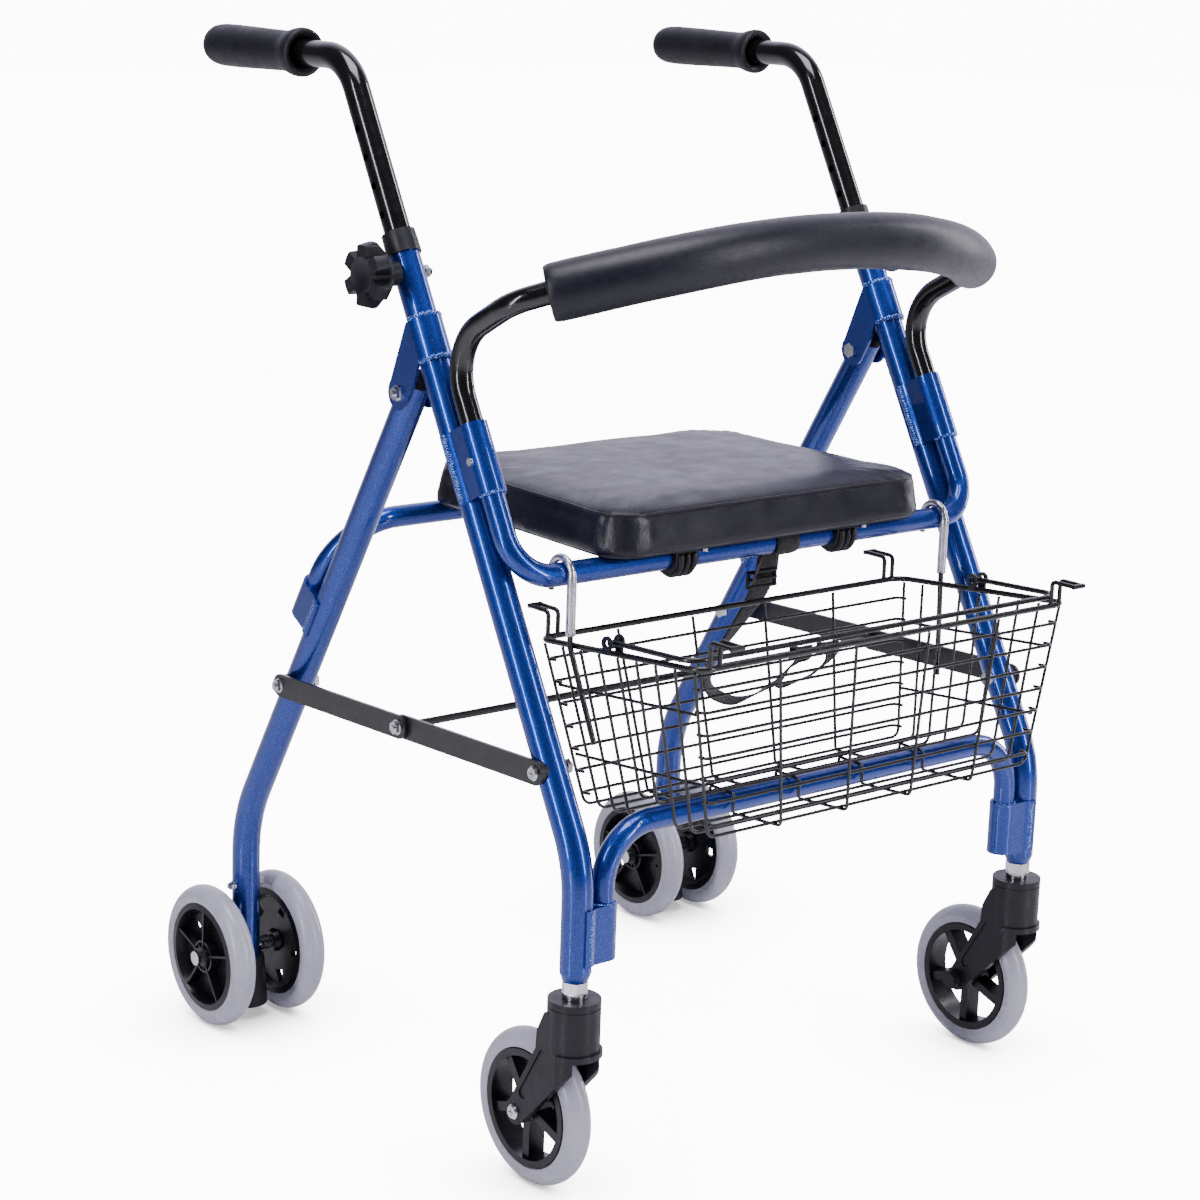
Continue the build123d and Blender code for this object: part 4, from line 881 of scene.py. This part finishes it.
SLIDER_AT = Vector((0.0205, -0.1150, 0.4550))
for level in (-0.0065, 0.0, 0.0065):
    stops = [-0.0165 + 0.0033 * k for k in range(11)]
    bar = [SLIDER_AT + Vector((x, -0.0022 - 0.0018 * math.cos(x * 80), level)) for x in stops]
    add_part(slider_verts, slider_faces, *tube_along(bar, 0.0016, 10))
for hand in (-1, 1):
    post = [SLIDER_AT + Vector((hand * 0.0155, -0.0022, -0.0075 + 0.0015 * k)) for k in range(11)]
    add_part(slider_verts, slider_faces, *tube_along(post, 0.0018, 10))
slider = make_object("strap_slider", slider_verts, slider_faces, PLASTIC)
put(slider, "front_frame")
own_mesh(slider)

# --- weld beads ----------------------------------------------------------------------------------
bead_count = 0
RIPPLE_PITCH = 0.0021
RIPPLE_STEP = 0.00042


def weld_bead(points, radius, body):
    """A bead of overlapping ripples along the given points."""
    global bead_count
    bead_count += 1
    length = sum((b - a).length for a, b in zip(points, points[1:]))
    steps = int(length / RIPPLE_STEP)
    fine = smooth_path(points, 8)
    dense = [curve_point(fine, k / steps) for k in range(steps + 1)]
    seed = bead_count * 7.3

    def ripple(t):
        along = t * length / RIPPLE_PITCH + 0.35 * mnoise.noise(Vector((t * 9, seed, 1)))
        crest = math.sin(math.pi * (along % 1.0)) ** 0.7
        ends = min(1.0, 0.45 + min(t, 1 - t) * length / 0.003)
        return radius * ends * (0.74 + 0.26 * crest + 0.10 * mnoise.noise(Vector((t * 22, seed, 0))))

    verts, faces = tube_along(dense, ripple, 12)
    made = make_object(f"weld_bead_{bead_count:02d}", verts, faces, WELD)
    put(made, body)
    return made


def arc_round(centre, axis_up, start_deg, stop_deg, radius, steps=14, wave=0.0):
    """Points round a leg: 0 degrees is +X, 90 degrees is rearwards."""
    back = axis_up.cross(Vector((1, 0, 0))) * -1
    if back.y < 0:
        back = -back
    made = []
    for k in range(steps + 1):
        a = math.radians(start_deg + (stop_deg - start_deg) * k / steps)
        lift = wave * math.sin(k * 2.1)
        across = Vector((1, 0, 0)) * (radius * math.cos(a))
        behind = back * (radius * math.sin(a))
        made.append(centre + across + behind + axis_up * lift)
    return made


def straight_weld(base, along, length, radius, body):
    """A nearly straight bead that wavers a little sideways."""
    weld_bead([
        base + along * (length * k / 12) + Vector((0.00035 * math.sin(k * 1.9), 0, 0)) for k in range(13)
    ], radius, body)


TUBE_RING_R = 0.0101
for side, name in SIDES:
    # round the clevis where it meets the leg, top and bottom
    for up in (0.0120, 0.0476):
        clevis_edge = on_front_leg(up, 0, side)
        ring = arc_round(clevis_edge, FRONT_UP, -188, 8, LEG_R + 0.0010, 22, 0.0005)
        weld_bead(ring, 0.0023, "front_frame")
    # both flanges of the upper socket, and round the seat tube at its lower end
    for hand in (-1, 1):
        base = on_front_leg(-0.1086, -0.0030, side) + Vector((hand * (LEG_R + 0.0017), 0, 0))
        straight_weld(base, FRONT_UP, 0.0576, 0.0027, "front_frame")
    low_end = on_front_leg(-0.1092, -SOCKET_OFFSET, side)
    weld_bead(arc_round(low_end, FRONT_UP, -200, 20, TUBE_RING_R, 20, 0.0003), 0.0020, "front_frame")
    # both flanges of the lower socket, and round the cross tube at its upper end
    for hand in (-1, 1):
        base = Vector((side * (TRACK - 0.0030), KNEE.y + hand * (LEG_R + 0.0006), 0.203))
        straight_weld(base, Vector((0, 0, 1)), 0.0425, 0.0024, "front_frame")
    top_end = Vector((side * (TRACK - SOCKET_OFFSET), KNEE.y, 0.2461))
    ring = arc_round(top_end, Vector((0, 0, 1)), -180, 170, TUBE_RING_R, 30, 0.0004)
    weld_bead(ring, 0.0021, "front_frame")
    # rear socket
    rise = (0.416 - SOCKET_OFFSET * REAR_BACK.z - 0.190) / REAR_UP.z
    middle = REAR_KNEE + REAR_UP * rise + Vector((side * TRACK, 0, 0))
    for hand in (-1, 1):
        base = middle - REAR_UP * 0.0185 + REAR_BACK * 0.0030 + Vector((hand * (LEG_R + 0.0006), 0, 0))
        straight_weld(base, REAR_UP, 0.037, 0.0024, "rear_frame")

# --- hanger hooks: bright wire in clear sleeves over the seat tube ---------------------------------
HANGER_X, HOOK_R = 0.210, 0.0129
SLEEVE_TOP_Z, SLEEVE_LOW_Z = 0.4906, 0.4426
HOOK_COVER, SLEEVE_COVER = 0.0032, 0.0040
HOOK_STEPS, LEG_STEPS = 24, 14
sleeve_verts, sleeve_faces = [], []


def sleeve_radius(share):
    """Thin round the hook, thicker down the straight end."""
    thicker = min(1.0, max(0.0, (share - 0.62) / 0.08))
    return HOOK_COVER + (SLEEVE_COVER - HOOK_COVER) * thicker


for side in (-1, 1):
    spine = [Vector((side * HANGER_X, SEAT_TUBE.y + HOOK_R, 0.4790 + 0.0029 * k)) for k in range(4)]
    for k in range(HOOK_STEPS + 1):
        a = math.pi * k / HOOK_STEPS
        spine.append(Vector((
            side * HANGER_X, SEAT_TUBE.y + HOOK_R * math.cos(a), SLEEVE_TOP_Z + HOOK_R * math.sin(a)
        )))
    drop = (SLEEVE_TOP_Z - SLEEVE_LOW_Z) / LEG_STEPS
    for k in range(1, LEG_STEPS + 1):
        spine.append(Vector((side * HANGER_X, SEAT_TUBE.y - HOOK_R, SLEEVE_TOP_Z - drop * k)))
    add_part(sleeve_verts, sleeve_faces, *tube_along(spine, sleeve_radius, 20))
sleeves = make_object("hanger_hook_sleeves", sleeve_verts, sleeve_faces, BRIGHT_SLEEVE)
put(sleeves, "basket")
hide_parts("hanger_sleeves")

# --- ribs round the seat clips --------------------------------------------------------------------
CLIP_X, RIB_PITCH, RIB_R, RIB_WIRE = 0.0905, 0.0068, 0.0139, 0.0027
RIB_START, RIB_SWEEP, RIB_STEPS = 158, 224, 32
rib_verts, rib_faces = [], []
for side in (-1, 1):
    for step in (-1, 0, 1):
        ring = []
        for k in range(RIB_STEPS + 1):
            a = math.radians(RIB_START + RIB_SWEEP * k / RIB_STEPS)
            ring.append(Vector((
                side * CLIP_X + step * RIB_PITCH,
                SEAT_TUBE.y + RIB_R * math.cos(a), SEAT_TUBE.z + RIB_R * math.sin(a),
            )))
        add_part(rib_verts, rib_faces, *tube_along(ring, RIB_WIRE, 12))
ribs = make_object("seat_clip_ribs", rib_verts, rib_faces, PLASTIC)
put(ribs, "seat")

# --- floor, light, camera ------------------------------------------------------------------------
FLOOR_GLOW = 11.4
# reach and least glow of the painted contact shadow in the floor's glow
SHADE_REACH, SHADE_LEAST = 0.14, 0.4
BACKDROP = 12.0
BACKDROP_SIDE = (0.61, 0.73, 0.30)
ROOM_LOW, ROOM_HIGH = 0.12, 2.0
ROOM_TINT = (0.82, 0.79, 1.0, 1)
LAMP_TINT = (0.95, 0.93, 1.0)
FLOOR_REACH = 14.0
floor_ends = ((-1, -1), (1, -1), (1, 1), (-1, 1))
floor_corners = [Vector((x * FLOOR_REACH, y * FLOOR_REACH, 0)) for x, y in floor_ends]
floor = make_object("studio_floor", floor_corners, [(0, 1, 2, 3)], None, smooth=False)
floor_look, floor_tree, floor_shader = new_material("pale_floor")
floor_at = coords(floor_tree)
floor_tree.links.new(
    ramp(floor_tree, noise(floor_tree, floor_at, 2.5, 3), [(0.3, grey(0.86)), (0.7, grey(0.89))]),
    floor_shader.inputs["Base Color"],
)
floor_shader.inputs["Roughness"].default_value = 0.12
floor_shader.inputs["Specular IOR Level"].default_value = 0.3
floor_shader.inputs["Emission Color"].default_value = WHITE
# camera-only glow keeps the floor evenly white; ambient occlusion dims that glow near the walker, a painted
# contact shadow under the wheels and frame
floor_path = floor_tree.nodes.new("ShaderNodeLightPath")
floor_glow = floor_tree.nodes.new("ShaderNodeMath")
floor_glow.operation = "MULTIPLY"
floor_contact_shadow = floor_tree.nodes.new("ShaderNodeAmbientOcclusion")
floor_contact_shadow.samples = 8
floor_contact_shadow.inputs["Distance"].default_value = SHADE_REACH
floor_tree.links.new(
    spread(floor_tree, floor_contact_shadow.outputs["AO"], SHADE_LEAST, FLOOR_GLOW, 0.25, 0.95), floor_glow.inputs[1]
)
floor_tree.links.new(floor_path.outputs["Is Camera Ray"], floor_glow.inputs[0])
floor_tree.links.new(floor_glow.outputs["Value"], floor_shader.inputs["Emission Strength"])
floor.data.materials.clear()
floor.data.materials.append(floor_look)

world = bpy.data.worlds.new("studio")
bpy.context.scene.world = world
world.use_nodes = True
sky_tree = world.node_tree
sky = sky_tree.nodes["Background"]
sky.inputs["Color"].default_value = WHITE
# the camera sees a white backdrop; the walker is lit by a dim room, brighter overhead
sky_at = sky_tree.nodes.new("ShaderNodeTexCoord")
sky_side = sky_tree.nodes.new("ShaderNodeVectorMath")
sky_side.operation = "DOT_PRODUCT"
sky_side.inputs[1].default_value = BACKDROP_SIDE
sky_tree.links.new(sky_at.outputs["Generated"], sky_side.inputs[0])
room = spread(sky_tree, sky_side.outputs["Value"], ROOM_LOW, ROOM_HIGH, 0.55, 0.97)
sky_path = sky_tree.nodes.new("ShaderNodeLightPath")
sky_mix = sky_tree.nodes.new("ShaderNodeMix")
sky_mix.data_type = "FLOAT"
sky_tree.links.new(sky_path.outputs["Is Camera Ray"], sky_mix.inputs[0])
sky_tree.links.new(room, sky_mix.inputs[MIX_NUMBER_A])
sky_mix.inputs[MIX_NUMBER_B].default_value = BACKDROP
sky_tree.links.new(sky_mix.outputs[MIX_NUMBER_OUT], sky.inputs["Strength"])
sky_tint = sky_tree.nodes.new("ShaderNodeMix")
sky_tint.data_type = "RGBA"
sky_tree.links.new(sky_path.outputs["Is Camera Ray"], sky_tint.inputs[0])
sky_tint.inputs[MIX_COLOUR_A].default_value = ROOM_TINT
sky_tint.inputs[MIX_COLOUR_B].default_value = WHITE
sky_tree.links.new(sky_tint.outputs[MIX_COLOUR_OUT], sky.inputs["Color"])


def area_light(name, place, target, width, height, power, colour=LAMP_TINT):
    data = bpy.data.lights.new(name, "AREA")
    data.shape = "RECTANGLE"
    data.size, data.size_y = width, height
    data.energy = power
    data.color = colour
    made = bpy.data.objects.new(name, data)
    made.location = place
    aim = (Vector(target) - Vector(place)).normalized()
    made.rotation_euler = aim.to_track_quat("-Z", "Y").to_euler()
    bpy.context.scene.collection.objects.link(made)
    return made


area_light("key_strip", (0.9, -2.9, 1.5), (0, 0, 0.45), 0.28, 2.6, 60)
area_light("left_strip", (-3.0, -0.5, 1.4), (0, 0, 0.5), 0.22, 2.6, 55)
area_light("right_strip", (2.8, -0.4, 1.3), (0, 0, 0.5), 0.3, 2.4, 40)
area_light("top_soft", (-0.3, -0.3, 3.0), (0, 0, 0.4), 1.6, 1.6, 75)

SENSOR_WIDTH, LENS, CLIP_END = 36.0, 83.1, 50
CAMERA_AT = Vector((-1.5474, -1.7895, 0.9845))
YAW, PITCH, ROLL = math.radians(-39.75), math.radians(13.59), math.radians(1.93)
camera_data = bpy.data.cameras.new("photo_camera")
camera = bpy.data.objects.new("photo_camera", camera_data)
bpy.context.scene.collection.objects.link(camera)
bpy.context.scene.camera = camera
camera_data.sensor_width = SENSOR_WIDTH
camera_data.lens = LENS
camera_data.clip_end = CLIP_END
back = Vector((math.sin(YAW) * math.cos(PITCH), -math.cos(YAW) * math.cos(PITCH), math.sin(PITCH)))
right = Vector((math.cos(YAW), math.sin(YAW), 0))
upward = back.cross(right)
rolled_right = right * math.cos(ROLL) + upward * math.sin(ROLL)
rolled_up = upward * math.cos(ROLL) - right * math.sin(ROLL)
turn = Matrix((rolled_right, rolled_up, back)).transposed().to_4x4()
camera.matrix_world = Matrix.Translation(CAMERA_AT) @ turn
